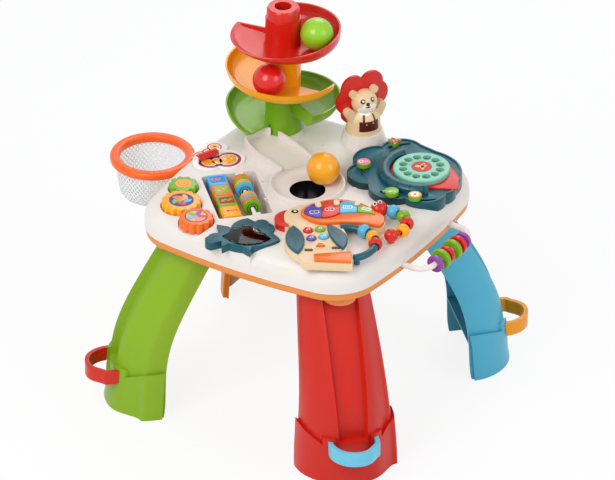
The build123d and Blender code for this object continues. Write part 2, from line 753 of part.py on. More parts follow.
# ---- dish, chute and balls ----------------------------------------------------------
with BuildPart() as dish:
    with BuildSketch(Plane.XZ):
        with BuildLine():
            Polyline((HOLE_R, 272), (HOLE_R, DISH_FLOOR), (44, DISH_FLOOR))
            ThreePointArc((44, DISH_FLOOR), (50.6, 327.5), (53, 334))
            Polyline((53, 334), (53.6, 337), (54.6, DISH_TOP), (56.2, DISH_TOP), (DISH_R, 336.6))
            Polyline((DISH_R, 336.6), (DISH_R, TABLE_TOP + 0.1), (54, TABLE_TOP + 0.1), (53.2, 328.5))
            ThreePointArc((53.2, 328.5), (51.2, 324.4), (46, 322.2))
            Polyline((46, 322.2), (TUBE_OUT, 322.2), (TUBE_OUT, 272), (HOLE_R, 272))
        make_face()
    revolve(axis=Axis.Z)


def chute_plan(inset):
    """Plan of the chute, running on into the dish."""
    with BuildSketch() as plan:
        with BuildLine():
            ThreePointArc((-137, 40), (-112, 23), (-78, 16))
            Line((-78, 16), (-46, 8))
            Line((-46, 8), (-20, 40))
            Line((-20, 40), (-30, 68))
            ThreePointArc((-30, 68), (-66, 82), (-112, 92))
            ThreePointArc((-112, 92), (-140, 70), (-137, 40))
        make_face()
        if inset:
            offset(amount=-inset)
    return plan.sketch


CHUTE_FLOOR_OUT, CHUTE_FLOOR_IN = 337.0, 333.0
CHUTE_RIM_OUT, CHUTE_RIM_IN = 355.0, 338.5
with BuildPart() as chute_void:
    with BuildSketch(Plane.XY.offset(320)):
        add(chute_plan(2.8))
    extrude(amount=50)
    with BuildSketch(Plane.XZ.offset(-150)):
        with BuildLine():
            Polyline((-150, CHUTE_FLOOR_OUT), (-20, CHUTE_FLOOR_IN), (-20, 380), (-150, 380), close=True)
        make_face()
    extrude(amount=300, mode=Mode.INTERSECT)

with BuildPart() as chute:
    with BuildSketch(Plane.XY.offset(TABLE_TOP + 0.1)):
        add(chute_plan(0))
    extrude(amount=30)
    with BuildSketch(Plane.XZ.offset(-150)):
        with BuildLine():
            Polyline(
                (-150, CHUTE_RIM_OUT), (-40, CHUTE_RIM_IN), (0, CHUTE_RIM_IN), (0, 400), (-150, 400), close=True
            )
        make_face()
    extrude(amount=300, mode=Mode.SUBTRACT)
    add(chute_void.part, mode=Mode.SUBTRACT)
    with Locations((0, 0, 320)):
        Cylinder(53, 60, mode=Mode.SUBTRACT)
    with Locations((TOWER_X, TOWER_Y, 340)):
        Cylinder(31.4, 60, mode=Mode.SUBTRACT)

with BuildPart() as ball_dish:
    add(dish.part)
    with BuildSketch(Plane.XY.offset(CHUTE_FLOOR_IN + 0.8)):
        add(chute_plan(2.8))
    extrude(amount=30, mode=Mode.SUBTRACT)
    add(chute.part)
finish(ball_dish.part, "ball_dish")

BALL_LIFT = 0.35  # the balls stand this far off the sloping floors
GREEN_BALL_ANGLE, RED_BALL_ANGLE = 341.0, 247.0


def floor_at(ramp, degrees):
    """Height of a trough's floor at a tower angle."""
    return ramp["floor"] + RAMP_FALL * math.radians(ramp["end"] - degrees)


balls = {
    "green": (
        *on_circle(53.5, tower_angle(GREEN_BALL_ANGLE), (TOWER_X, TOWER_Y)),
        floor_at(RAMP_RED, GREEN_BALL_ANGLE) + BALL_D / 2 + 0.08 + BALL_LIFT,
    ),
    "red": (
        *on_circle(53.7, tower_angle(RED_BALL_ANGLE), (TOWER_X, TOWER_Y)),
        floor_at(RAMP_YELLOW, RED_BALL_ANGLE) + BALL_D / 2 + 0.08 + BALL_LIFT,
    ),
    "orange": (9.9, 28.6, DISH_FLOOR + BALL_D / 2 + GAP),
}
for colour, place in balls.items():
    with BuildPart() as ball:
        with Locations(place):
            Sphere(BALL_D / 2)
    finish(ball.part, f"ball_{colour}")

# ---- lion ---------------------------------------------------------------------------
face_x, face_y = on_circle(1, LION_FACE)
LION_HEAD_Z, MANE_Z = 398.0, 403.0
MANE_BACK, MANE_T = 7.5, 5.0


def lion_plane(forward, height=0.0):
    """Upright plane across the lion: local x to its left hand, local y up."""
    return Plane(
        origin=(LION_X + forward * face_x, LION_Y + forward * face_y, height),
        x_dir=(-face_y, face_x, 0),
        z_dir=(face_x, face_y, 0),
    )


with BuildPart() as lion_figure:
    with BuildSketch(Plane.XZ.offset(-LION_Y)):
        with BuildLine():
            Polyline(
                (LION_X + 23.6, 338), (LION_X + 26.6, 338), (LION_X + 26.6, 352), (LION_X + 25.6, 368)
            )
            ThreePointArc((LION_X + 25.6, 368), (LION_X + 23.0, 379), (LION_X + 17.0, 386))
            Polyline((LION_X + 17.0, 386), (LION_X, 386), (LION_X, 382), (LION_X + 15.0, 382))
            ThreePointArc((LION_X + 15.0, 382), (LION_X + 20.3, 376.5), (LION_X + 22.6, 368))
            Line((LION_X + 22.6, 368), (LION_X + 23.6, 338))
        make_face()
    revolve(axis=Axis((LION_X, LION_Y, 0), (0, 0, 1)))
    with Locations((LION_X + 2 * face_x, LION_Y + 2 * face_y, LION_HEAD_Z)):
        Sphere(20)
    for side in (-1, 1):
        with BuildSketch(lion_plane(-MANE_BACK + MANE_T)):
            with Locations((side * 18, LION_HEAD_Z + 16)):
                Circle(6.5)
        extrude(amount=6)
        with BuildSketch(lion_plane(-MANE_BACK + MANE_T)):
            with Locations((side * 25, LION_HEAD_Z - 17)):
                SlotOverall(26, 14, rotation=side * 62)
        extrude(amount=12)
    # flat back for the mane
    with BuildSketch(lion_plane(-MANE_BACK + MANE_T)):
        with Locations((0, LION_HEAD_Z + 8)):
            Rectangle(60, 50)
    extrude(amount=-30, mode=Mode.SUBTRACT)
    with BuildSketch(lion_plane(-MANE_BACK + MANE_T)):
        with Locations((0, LION_HEAD_Z + 2)):
            Circle(3)
    extrude(amount=-3)
    with Locations((LION_X, LION_Y, 322)):
        Cylinder(3.5, 62.5, align=(Align.CENTER, Align.CENTER, Align.MIN))
finish(lion_figure.part, "lion_figure")

with BuildPart() as lion_mane:
    with BuildSketch(lion_plane(-MANE_BACK, MANE_Z)):
        with BuildLine():
            ThreePointArc((0, 32.3), (25.5, 37.3), (36, 17.5))
            ThreePointArc((36, 17.5), (45.0, 0), (35.4, -19.5))
            ThreePointArc((35.4, -19.5), (33.5, -31), (24, -37.5))
            Line((24, -37.5), (24, -18))
            Line((24, -18), (-24, -18))
            Line((-24, -18), (-24, -37.5))
            ThreePointArc((-24, -37.5), (-33.5, -31), (-35.4, -19.5))
            ThreePointArc((-35.4, -19.5), (-45.0, 0), (-36, 17.5))
            ThreePointArc((-36, 17.5), (-25.5, 37.3), (0, 32.3))
        make_face()
        with Locations((0, LION_HEAD_Z + 2 - MANE_Z)):
            Circle(3.1, mode=Mode.SUBTRACT)
    extrude(amount=MANE_T - 0.1)
    with Locations((LION_X, LION_Y, 330)):
        Cylinder(27.0, 56.5, align=(Align.CENTER, Align.CENTER, Align.MIN), mode=Mode.SUBTRACT)
finish(lion_mane.part, "lion_mane")

# ---- butterfly ----------------------------------------------------------------------
ROLLER = (-168.5, -15.5, 340.0)
ROLLER_TURN, ROLLER_L, ROLLER_R = 67.7, 34.0, 5.5
roller_dir = (*on_circle(1, ROLLER_TURN), 0)


def across_roller(distance):
    """Plane across the roller's axis."""
    x, y = on_circle(distance, ROLLER_TURN, ROLLER[:2])
    return Plane(origin=(x, y, ROLLER[2]), x_dir=(-roller_dir[1], roller_dir[0], 0), z_dir=roller_dir)


with BuildPart() as butterfly_plate:
    with BuildSketch(Plane.XY.offset(TABLE_TOP + 0.1)):
        with BuildLine():
            ThreePointArc((-188, -24), (-194, -6), (-187, 8))
            ThreePointArc((-187, 8), (-192, 27), (-176, 33))
            ThreePointArc((-176, 33), (-160, 30), (-158, 20))
            ThreePointArc((-158, 20), (-126, 22), (-119.4, -4))
            ThreePointArc((-119.4, -4), (-124, -20), (-141, -24))
            ThreePointArc((-141, -24), (-156, -43), (-178, -40))
            Line((-178, -40), (-188, -24))
        make_face()
    extrude(amount=3.8)
    for side in (-1, 1):
        with BuildSketch(across_roller(side * (ROLLER_L / 2 + 3.3))):
            with Locations((0, -2.2)):
                Rectangle(7, 10.5)
        extrude(amount=side * 3.0 if side > 0 else 3.0)
    with BuildSketch(across_roller(-ROLLER_L / 2 - 4)):
        Circle(1.6)
    extrude(amount=ROLLER_L + 8, mode=Mode.SUBTRACT)
    add(shell_body.part.moved(Location((0, 0, 0.1))), mode=Mode.SUBTRACT)
finish(butterfly_plate.part, "butterfly_plate")

with BuildPart() as ribbed_roller:
    with BuildSketch(across_roller(-ROLLER_L / 2)):
        Circle(ROLLER_R)
        with PolarLocations(ROLLER_R + 0.5, 10):
            Circle(1.1, mode=Mode.SUBTRACT)
    extrude(amount=ROLLER_L)
    with BuildSketch(across_roller(-ROLLER_L / 2 - 2.5)):
        Circle(1.3)
    extrude(amount=ROLLER_L + 5)
finish(ribbed_roller.part, "ribbed_roller")


# ---- gears --------------------------------------------------------------------------
def gear_phase(colour):
    """Angle of one tooth, so that the teeth of neighbours interleave."""
    yellow_x, yellow_y, yellow_teeth, yellow_pitch = GEARS["yellow"]
    green_x, green_y = GEARS["green"][:2]
    first = math.degrees(math.atan2(green_y - yellow_y, green_x - yellow_x))
    if colour == "yellow":
        return first
    x, y, teeth, pitch = GEARS[colour]
    line = math.degrees(math.atan2(y - yellow_y, x - yellow_x))
    step = 360 / yellow_teeth
    lead = (first - line + step / 2) % step - step / 2
    return line + 180 - lead * yellow_pitch / pitch + 180 / teeth


for colour, (x, y, teeth, pitch) in GEARS.items():
    with BuildPart() as gear:
        with BuildSketch(Plane.XY.offset(GEAR_BOTTOM)):
            with BuildLine():
                points = []
                for tooth in range(teeth):
                    middle = gear_phase(colour) + 360 / teeth * tooth
                    for radius, share in ((-2.7, -0.31), (2.0, -0.12), (2.0, 0.12), (-2.7, 0.31)):
                        points.append(on_circle(pitch + radius, middle + share * 360 / teeth, (x, y)))
                Polyline(*points, close=True)
            make_face()
        extrude(amount=GEAR_TOP - GEAR_BOTTOM)
        with Locations((x, y, GEAR_BOTTOM)):
            Cylinder(4.35, 12.6, align=(Align.CENTER, Align.CENTER, Align.MIN), mode=Mode.SUBTRACT)
    finish(gear.part, f"gear_{colour}")


# ---- picture blocks and discs -------------------------------------------------------
for colour, place in BLOCK_PLACES.items():
    with BuildPart() as block:
        with BuildSketch(rod_plane.offset(place - BLOCK / 2)):
            with Locations((BLOCK_V, BLOCK_Z)):
                RectangleRounded(BLOCK, BLOCK, 4)
        extrude(amount=BLOCK)
        chamfer(block.edges().filter_by(GeomType.LINE).filter_by(lambda edge: edge.length < 25), 1.2)
        with BuildSketch(rod_plane.offset(place - BLOCK)):
            with Locations((BLOCK_V, BLOCK_Z)):
                Circle(ROD_R + GAP)
        extrude(amount=2 * BLOCK, mode=Mode.SUBTRACT)
    finish(block.part, f"block_{colour}")

with BuildPart() as tray_rods:
    with BuildSketch(rod_plane.offset(TRAY_U0 - 2.3)):
        with Locations((BLOCK_V, BLOCK_Z), (DISC_V, DISC_Z)):
            Circle(ROD_R)
    extrude(amount=TRAY_U1 - TRAY_U0 + 4.6)
finish(tray_rods.part, "tray_rods")

with BuildPart() as disc_stacks:
    for first in (-46.9, 3.7):
        for index in range(4):
            with BuildSketch(rod_plane.offset(first + index * (DISC_T + 0.2) - DISC_T / 2)):
                with Locations((DISC_V, DISC_Z)):
                    Circle(DISC_R)
                    Circle(ROD_R + GAP, mode=Mode.SUBTRACT)
            extrude(amount=DISC_T)
finish(disc_stacks.part, "disc_stacks")

# ---- fish ---------------------------------------------------------------------------
WINDOW = ((-33, 4), (36, -3))
with BuildPart() as fish_frame:
    with BuildSketch(FISH.offset(SEAT_Z + 0.2)):
        add(fish_plan())
    extrude(amount=334.5 - SEAT_Z - 0.2)
    with BuildSketch(FISH.offset(SEAT_Z + 2.2)):
        add(lens(*WINDOW, 19, 15))
    extrude(amount=20, mode=Mode.SUBTRACT)
    with BuildSketch(FISH.offset(331)):
        offset(lens(*WINDOW, 19, 15), amount=1.6)
    extrude(amount=20, mode=Mode.SUBTRACT)
finish(fish_frame.part, "fish_frame")

DOME_R = 150.0
dome_x, dome_y = 3.8 + 0.5, -179.0 + 2.0
with BuildPart() as fish_window:
    with BuildSketch(FISH.offset(331.2)):
        offset(lens(*WINDOW, 19, 15), amount=1.3)
    extrude(amount=10)
    with Locations((dome_x, dome_y, 337.5 - DOME_R)):
        Sphere(DOME_R, mode=Mode.INTERSECT)
    with Locations((dome_x, dome_y, 335.7 - DOME_R)):
        Sphere(DOME_R, mode=Mode.SUBTRACT)
finish(fish_window.part, "fish_window")


# ---- toucan -------------------------------------------------------------------------
def toucan_plan():
    """Base of the toucan: head, back, belly and branch in one outline."""
    with BuildSketch() as plan:
        with BuildLine():
            ThreePointArc((-49, 44), (-50, 64), (-38, 82))
            ThreePointArc((-38, 82), (-26, 88), (-14, 89))
            ThreePointArc((-14, 89), (28, 98), (66, 86))
            ThreePointArc((66, 86), (86, 68), (97, 44))
            ThreePointArc((97, 44), (98, 31), (88, 23))
            ThreePointArc((88, 23), (60, 29.5), (32, 31))
            ThreePointArc((32, 31), (42, 3), (40, -42))
            Line((40, -42), (50, -46))
            Line((50, -46), (50, -80))
            Line((50, -80), (-8, -76))
            Line((-8, -76), (-22, -76))
            Line((-22, -76), (-29, -56))
            ThreePointArc((-29, -56), (-50, -12), (-38, 28))
            Line((-38, 28), (-49, 44))
        make_face()
    return plan.sketch


def beak_plan():
    """Crescent beak on the left of the head."""
    with BuildSketch() as plan:
        with BuildLine():
            ThreePointArc((-43, 80), (-62.5, 67), (-64.5, 49))
            ThreePointArc((-64.5, 49), (-57, 35), (-44, 32))
            Line((-44, 32), (-43, 80))
        make_face()
    return plan.sketch


def bed_plan():
    """Banana shaped bed of the keys."""
    with BuildSketch() as plan:
        with BuildLine():
            ThreePointArc((-24, 78), (26, 106), (84, 72))
            ThreePointArc((84, 72), (98, 50), (90, 30))
            ThreePointArc((90, 30), (56, 40), (26, 41))
            ThreePointArc((26, 41), (-4, 42), (-18, 55))
            ThreePointArc((-18, 55), (-26, 66), (-24, 78))
        make_face()
    return plan.sketch


def keys_plan():
    """Field of the four keys."""
    with BuildSketch() as plan:
        with BuildLine():
            ThreePointArc((-19, 78), (26, 101.5), (78, 72))
            Line((78, 72), (84, 61))
            ThreePointArc((84, 61), (58, 67), (30, 63))
            ThreePointArc((30, 63), (4, 51), (-16, 59))
            ThreePointArc((-16, 59), (-21, 68), (-19, 78))
        make_face()
    return plan.sketch


BUTTONS = {"red": (-15.2, 14.2), "green": (2.5, 17.3), "purple": (-10.3, -8.0), "blue": (7.6, -3.9)}
SWITCH = (3.2, -28.6)
KEY_CUTS = {"purple": (-30, 5.0), "red": (5.0, 32.0), "blue": (32.0, 57.5), "green": (57.5, 100)}
BUTTON_R = 7.3
BRANCH_PLAN = [(-7, -56), (48, -49), (48, -79), (-6, -74)]

with BuildPart() as toucan_body:
    with BuildSketch(TOUCAN.offset(TABLE_TOP + 0.1)):
        add(toucan_plan())
    extrude(amount=BODY_TOP - TABLE_TOP - 0.1)
    with BuildSketch(TOUCAN.offset(TABLE_TOP + 0.1)):
        add(beak_plan())
    extrude(amount=9.5)
    with BuildSketch(TOUCAN.offset(TABLE_TOP)):
        offset(toucan_plan(), amount=-3)
    extrude(amount=BODY_TOP - 3 - TABLE_TOP, mode=Mode.SUBTRACT)
    with BuildSketch(TOUCAN.offset(TABLE_TOP)):
        with Locations(*BUTTONS.values()):
            Circle(BUTTON_R + GAP)
        with Locations(SWITCH):
            SlotOverall(14, 4.6)
    extrude(amount=30, mode=Mode.SUBTRACT)
finish(toucan_body.part, "toucan_body")

KEY_BOTTOM, KEY_TOP = BODY_TOP + 3.7, BODY_TOP + 7.0
BED_T, BED_FLOOR = 5.5, 1.5

with BuildPart() as toucan_key_bed:
    with BuildSketch(toucan_plane(BODY_TOP + 0.1, BED_SHIFT)):
        add(bed_plan())
    extrude(amount=BED_T)
    with BuildSketch(toucan_plane(BODY_TOP + BED_FLOOR, BED_SHIFT)):
        add(keys_plan())
    extrude(amount=10, mode=Mode.SUBTRACT)
    with BuildSketch(toucan_plane(BODY_TOP + 0.1)):
        with BuildLine():
            Polyline(*BRANCH_PLAN, close=True)
        make_face()
    extrude(amount=4)
finish(toucan_key_bed.part, "toucan_key_bed")

for colour, (left, right) in KEY_CUTS.items():
    with BuildPart() as key:
        with BuildSketch(toucan_plane(KEY_BOTTOM, BED_SHIFT)):
            offset(keys_plan(), amount=-0.4)
            with Locations(((left + right) / 2, 75)):
                Rectangle(right - left - 0.8, 80, mode=Mode.INTERSECT)
            for cut in (5.0, 32.0, 57.5):
                with Locations((cut, 98 - 0.004 * (cut - 26) ** 2)):
                    Circle(5.2, mode=Mode.SUBTRACT)
        extrude(amount=KEY_TOP - KEY_BOTTOM)
    finish(key.part, f"key_{colour}")

for colour, place in BUTTONS.items():
    with BuildPart() as button:
        with BuildSketch(TOUCAN.offset(334)):
            with Locations(place):
                Circle(BUTTON_R)
        extrude(amount=BODY_TOP + 3.2 - 334)
        chamfer(button.faces().sort_by(Axis.Z)[-1].edges(), 1.2)
        with BuildSketch(TOUCAN.offset(337)):
            with Locations(place):
                Circle(BUTTON_R + 1.2)
        extrude(amount=1.6)
    finish(button.part, f"button_{colour}")

with BuildPart() as switch_slider:
    with BuildSketch(TOUCAN.offset(336)):
        with Locations(SWITCH):
            SlotOverall(7, 4)
    extrude(amount=BODY_TOP + 1 - 336)
    with BuildSketch(TOUCAN.offset(337)):
        with Locations(SWITCH):
            RectangleRounded(20, 7, 1.5)
    extrude(amount=2.4)
    with BuildSketch(TOUCAN.offset(BODY_TOP + 0.3)):
        with Locations(SWITCH):
            RectangleRounded(9, 6.4, 2)
    extrude(amount=3)
finish(switch_slider.part, "switch_slider")

with BuildPart() as toucan_wings:
    with BuildSketch(TOUCAN.offset(BODY_TOP + 0.1)):
        with BuildLine():
            ThreePointArc((-37, 26), (-23, 0), (-30, -53))
            ThreePointArc((-30, -53), (-48.5, -14), (-37, 26))
        make_face()
        with BuildLine():
            ThreePointArc((13, 28), (39, 4), (36, -41))
            ThreePointArc((36, -41), (17, -4), (13, 28))
        make_face()
    extrude(amount=4)
    chamfer(toucan_wings.faces().group_by(Axis.Z)[-1].edges(), 1.5)
finish(toucan_wings.part, "toucan_wings")

RING = (40.0, -17.6)
RING_R, RING_TUBE, RING_Z = 44.0, 5.6, 341.0
RING_FROM, RING_TO = 100.0, -74.0
RING_BEADS = (51.0, 23.5, -4.0)
BEAD_R = 10.4


def bead_profile(plane, centre, radius, half_length, bore):
    """Half section of a bead: barrel side and a bore."""
    with BuildSketch(plane) as section:
        with BuildLine():
            edge = math.sqrt(radius**2 - half_length**2)
            Line((-half_length, centre + bore), (-half_length, centre + edge))
            ThreePointArc((-half_length, centre + edge), (0, centre + radius), (half_length, centre + edge))
            Line((half_length, centre + edge), (half_length, centre + bore))
            Line((half_length, centre + bore), (-half_length, centre + bore))
        make_face()
    return section.sketch


def bead(radius, half_length, bore):
    """Barrel bead along X at the origin."""
    with BuildPart() as body:
        add(bead_profile(Plane.XZ, 0.0, radius, half_length, bore))
        revolve(axis=Axis.X)
    return body.part


def ring_place(centre, radius, degrees, height):
    """Place on a ring in the toucan's frame, with X along the ring."""
    x, y = on_circle(radius, degrees, centre)
    spot = TOUCAN.from_local_coords((x, y, height))
    return Location((spot.X, spot.Y, spot.Z), (0, 0, TOUCAN_TURN + degrees + 90))


with BuildPart() as bead_ring:
    with BuildLine(TOUCAN.offset(RING_Z)) as ring_path:
        middle = (RING_FROM + RING_TO) / 2
        ThreePointArc(
            on_circle(RING_R, RING_FROM, RING),
            on_circle(RING_R, middle, RING),
            on_circle(RING_R, RING_TO, RING),
        )
    with BuildSketch(Plane(origin=ring_path.line @ 0, z_dir=ring_path.line % 0)):
        Circle(RING_TUBE)
    sweep()
    # foot under the lower end of the tube; the upper end dies into the back of the bird
    with BuildSketch(TOUCAN.offset(TABLE_TOP + 0.1)):
        with Locations(on_circle(RING_R, RING_TO + 6, RING)):
            Circle(4.5)
    extrude(amount=RING_Z - TABLE_TOP)
    with BuildSketch(TOUCAN.offset(TABLE_TOP)):
        offset(toucan_plan(), amount=GAP / 2)
    extrude(amount=BODY_TOP + 0.1 - TABLE_TOP, mode=Mode.SUBTRACT)
    add(toucan_key_bed.part, mode=Mode.SUBTRACT)
    add(toucan_wings.part, mode=Mode.SUBTRACT)
finish(bead_ring.part, "bead_ring")

with BuildPart() as ring_beads:
    for degrees in RING_BEADS:
        with Locations(ring_place(RING, RING_R, degrees, RING_Z)):
            add(bead(BEAD_R, 7.4, RING_TUBE + 1.2))
finish(ring_beads.part, "ring_beads")

# ---- bead worm --------------------------------------------------------------------
WORM = (93.0, 39.4)
WORM_R, WORM_ROD, WORM_Z = 38.0, 3.0, 341.0
WORM_HEAD, WORM_TAIL = 94.4, -68.0
WORM_BEADS = (61.0, 29.5, -2.0, -33.5)

with BuildPart() as worm_rod:
    with BuildLine(TOUCAN.offset(WORM_Z)) as worm_path:
        ThreePointArc(
            on_circle(WORM_R, WORM_HEAD, WORM),
            on_circle(WORM_R, 13, WORM),
            on_circle(WORM_R, WORM_TAIL, WORM),
        )
    with BuildSketch(Plane(origin=worm_path.line @ 0, z_dir=worm_path.line % 0)):
        Circle(WORM_ROD)
    sweep()
    for degrees, radius in ((WORM_HEAD, 13.0), (WORM_TAIL, BEAD_R)):
        with Locations(ring_place(WORM, WORM_R, degrees, WORM_Z + (radius - BEAD_R) * 0.6)):
            Sphere(radius)
        with BuildSketch(TOUCAN.offset(TABLE_TOP + 0.1)):
            with Locations(on_circle(WORM_R, degrees, WORM)):
                Circle(5.5)
        extrude(amount=8)
    with BuildSketch(Plane.XY.offset(TABLE_TOP + 0.1)):
        Rectangle(900, 900)
    extrude(amount=60, mode=Mode.INTERSECT)
    # room for the end of the key bed beside the head
    with BuildSketch(TOUCAN.offset(TABLE_TOP)):
        offset(toucan_plan(), amount=GAP)
    extrude(amount=BODY_TOP + 0.1 - TABLE_TOP, mode=Mode.SUBTRACT)
    with BuildSketch(toucan_plane(BODY_TOP, BED_SHIFT)):
        offset(bed_plan(), amount=GAP)
    extrude(amount=40, mode=Mode.SUBTRACT)
finish(worm_rod.part, "worm_rod")

with BuildPart() as worm_beads:
    for degrees in WORM_BEADS:
        with Locations(ring_place(WORM, WORM_R, degrees, WORM_Z)):
            add(bead(BEAD_R, 7.6, WORM_ROD + 1.2))
finish(worm_beads.part, "worm_beads")


# ---- bird tray with dial ------------------------------------------------------------
CENTRE = (DIAL_X, DIAL_Y)


def bird_plan():
    """Lobed outline of the bird tray."""
    with BuildSketch() as plan:
        with BuildLine():
            ThreePointArc((40.8, 144.4), (18.8, 109), (34.9, 77.7))
            ThreePointArc((34.9, 77.7), (46.5, 41), (82.3, 39.9))
            ThreePointArc((82.3, 39.9), (116, 16.5), (149.5, 33.5))
            ThreePointArc((149.5, 33.5), (186, 41), (195.2, 77.2))
            ThreePointArc((195.2, 77.2), (199, 92), (194, 108))
            ThreePointArc((194, 108), (172, 157), (120.3, 175))
            Line((120.3, 175), (88.5, 180))
            ThreePointArc((88.5, 180), (52, 177), (40.8, 144.4))
        make_face()
    return plan.sketch


BEAK_TIP = (204.5, 97.0)


def bird_beak_plan():
    """Round plate under the dial, drawn out to the bird's beak."""
    with BuildSketch() as plan:
        with Locations(CENTRE):
            Circle(47)
        with BuildLine():
            Polyline(
                on_circle(47, 55, CENTRE), (187, 128), BEAK_TIP, (196, 92), on_circle(46, -58, CENTRE), close=True
            )
        make_face()
    return plan.sketch


SLIDERS = {  # rest angle, slot from, slot to, radius about the dial's centre
    "melon": (148.5, 134.0, 154.0, 88.0),
    "berry": (201.0, 186.0, 215.0, 88.0),
    "pear": (268.0, 254.0, 275.0, 81.0),
    "orange": (294.0, 292.5, 316.5, 79.5),
}
KNOB_R, KNOB_BOTTOM, KNOB_TOP = 10.4, 341.9, 349.0
STEM_R, FLANGE_R, SLOT_W = 2.4, 3.4, 5.4
ARCH_IN, ARCH_OUT = 48.0, 66.0
ARCH_FROM, ARCH_TO = 150.0, 310.0

with BuildPart() as bird_tray:
    with BuildSketch(Plane.XY.offset(SEAT_Z)):
        add(bird_plan())
    extrude(amount=TRAY_TOP - SEAT_Z)
    with BuildSketch(Plane.XY.offset(TRAY_TOP)):
        add(bird_plan())
        offset(bird_plan(), amount=-2.6, mode=Mode.SUBTRACT)
    extrude(amount=2.4)
    with BuildSketch(Plane.XY.offset(SEAT_Z - 1)):
        offset(bird_plan(), amount=-3)
    extrude(amount=TRAY_TOP - 3 - SEAT_Z + 1, mode=Mode.SUBTRACT)
    add(shell_body.part.moved(Location((0, 0, 0.1))), mode=Mode.SUBTRACT)
    with BuildSketch(Plane.XY.offset(TRAY_TOP)):
        offset(bird_beak_plan(), amount=0.5)
    extrude(amount=10, mode=Mode.SUBTRACT)
    for rest, start, stop, radius in SLIDERS.values():
        with BuildSketch(Plane.XY.offset(TRAY_TOP - 5)):
            add(arc_slot(radius, start, stop, SLOT_W, CENTRE))
        extrude(amount=10, mode=Mode.SUBTRACT)
    # arched band of segments round the dial
    arch_x, arch_y = on_circle(1, ARCH_FROM)
    arch_plane = Plane(origin=(DIAL_X, DIAL_Y, 0), x_dir=(arch_x, arch_y, 0), z_dir=(arch_y, -arch_x, 0))
    with BuildSketch(arch_plane):
        with BuildLine():
            Line((ARCH_IN, TRAY_TOP - 1), (ARCH_IN, 348))
            ThreePointArc((ARCH_IN, 348), ((ARCH_IN + ARCH_OUT) / 2, 352), (ARCH_OUT, 346))
            Line((ARCH_OUT, 346), (ARCH_OUT, TRAY_TOP - 1))
            Line((ARCH_OUT, TRAY_TOP - 1), (ARCH_IN, TRAY_TOP - 1))
        make_face()
    revolve(axis=Axis((DIAL_X, DIAL_Y, 0), (0, 0, 1)), revolution_arc=ARCH_TO - ARCH_FROM)
finish(bird_tray.part, "bird_tray")

with BuildPart() as bird_beak:
    with BuildSketch(Plane.XY.offset(TRAY_TOP + 0.1)):
        add(bird_beak_plan())
    extrude(amount=2.7)
    with Locations((DIAL_X, DIAL_Y, TRAY_TOP + 2)):
        Cylinder(3, 8, align=(Align.CENTER, Align.CENTER, Align.MIN))
finish(bird_beak.part, "bird_beak")

with BuildPart() as bird_dial:
    with BuildSketch(Plane.XY.offset(TRAY_TOP + 3.2)):
        with Locations(CENTRE):
            Circle(DIAL_R)
    extrude(amount=7.8)
    chamfer(bird_dial.faces().sort_by(Axis.Z)[-1].edges(), 1.5)
    with BuildSketch(Plane.XY.offset(TRAY_TOP + 3.2)):
        with Locations(CENTRE):
            Circle(3 + GAP)
            with PolarLocations(28.6, 12, 15):
                Circle(6.3)
    extrude(amount=12, mode=Mode.SUBTRACT)
finish(bird_dial.part, "bird_dial")

for fruit, (rest, start, stop, radius) in SLIDERS.items():
    spot = on_circle(radius, rest, CENTRE)
    with BuildPart() as slider:
        with BuildSketch(Plane.XY.offset(KNOB_BOTTOM)):
            with Locations(spot):
                if fruit == "melon":
                    RegularPolygon(KNOB_R + 1.4, 3, rotation=60)
                else:
                    Circle(KNOB_R)
        extrude(amount=KNOB_TOP - KNOB_BOTTOM)
        with Locations((*spot, 332.5)):
            Cylinder(STEM_R, KNOB_BOTTOM - 332, align=(Align.CENTER, Align.CENTER, Align.MIN))
            Cylinder(FLANGE_R, 3, align=(Align.CENTER, Align.CENTER, Align.MIN))
    finish(slider.part, f"slider_{fruit}")

# ---- rail with beads ----------------------------------------------------------------
RAIL_BEND = 24.0
with BuildPart() as rail_tube:
    with BuildLine() as rail_path:
        FilletPolyline(
            (191.0, RAIL_Y0, RAIL_Z),
            (RAIL_X, RAIL_Y0, RAIL_Z),
            (RAIL_X, RAIL_Y1, RAIL_Z),
            (191.0, RAIL_Y1, RAIL_Z),
            radius=RAIL_BEND,
        )
    with BuildSketch(Plane(origin=rail_path.line @ 0, z_dir=rail_path.line % 0)):
        Circle(RAIL_R)
    sweep()
    for end in RAIL_ENDS:
        with BuildSketch(Plane.YZ.offset(190.5)):
            with Locations((end, RAIL_Z)):
                Circle(6.5)
        extrude(amount=3)
finish(rail_tube.part, "rail_tube")

RAIL_BEADS = [  # place along the rail, radius, width
    (-28.0, 13.5, 6.5),
    (-12.5, 16.0, 7.5),
    (2.5, 13.5, 7.5),
    (19.5, 16.0, 7.5),
    (35.0, 15.0, 7.5),
    (50.0, 13.5, 6.5),
]
with BuildPart() as rail_beads:
    for place, radius, width in RAIL_BEADS:
        with BuildSketch(Plane.XZ.offset(-place - width / 2)):
            with Locations((RAIL_X, RAIL_Z)):
                Circle(radius)
                Circle(RAIL_R + 0.8, mode=Mode.SUBTRACT)
        extrude(amount=width)
finish(rail_beads.part, "rail_beads")

# ---- hoop and net -------------------------------------------------------------------
HOOP_LOW, HOOP_HIGH = 296.0, 309.0
with BuildPart() as hoop_ring:
    with BuildSketch(Plane.XZ.offset(-HOOP_Y)):
        with Locations((HOOP_X + 57, (HOOP_LOW + HOOP_HIGH) / 2)):
            RectangleRounded(15, HOOP_HIGH - HOOP_LOW, 5)
    revolve(axis=Axis((HOOP_X, HOOP_Y, 0), (0, 0, 1)))
    with Locations((-202, HOOP_Y, 298.4)):
        Box(20, 40, 7.6)
    with Locations((HOOP_X, HOOP_Y, 300)):
        Cylinder(50, 30, mode=Mode.SUBTRACT)
finish(hoop_ring.part, "hoop_ring")

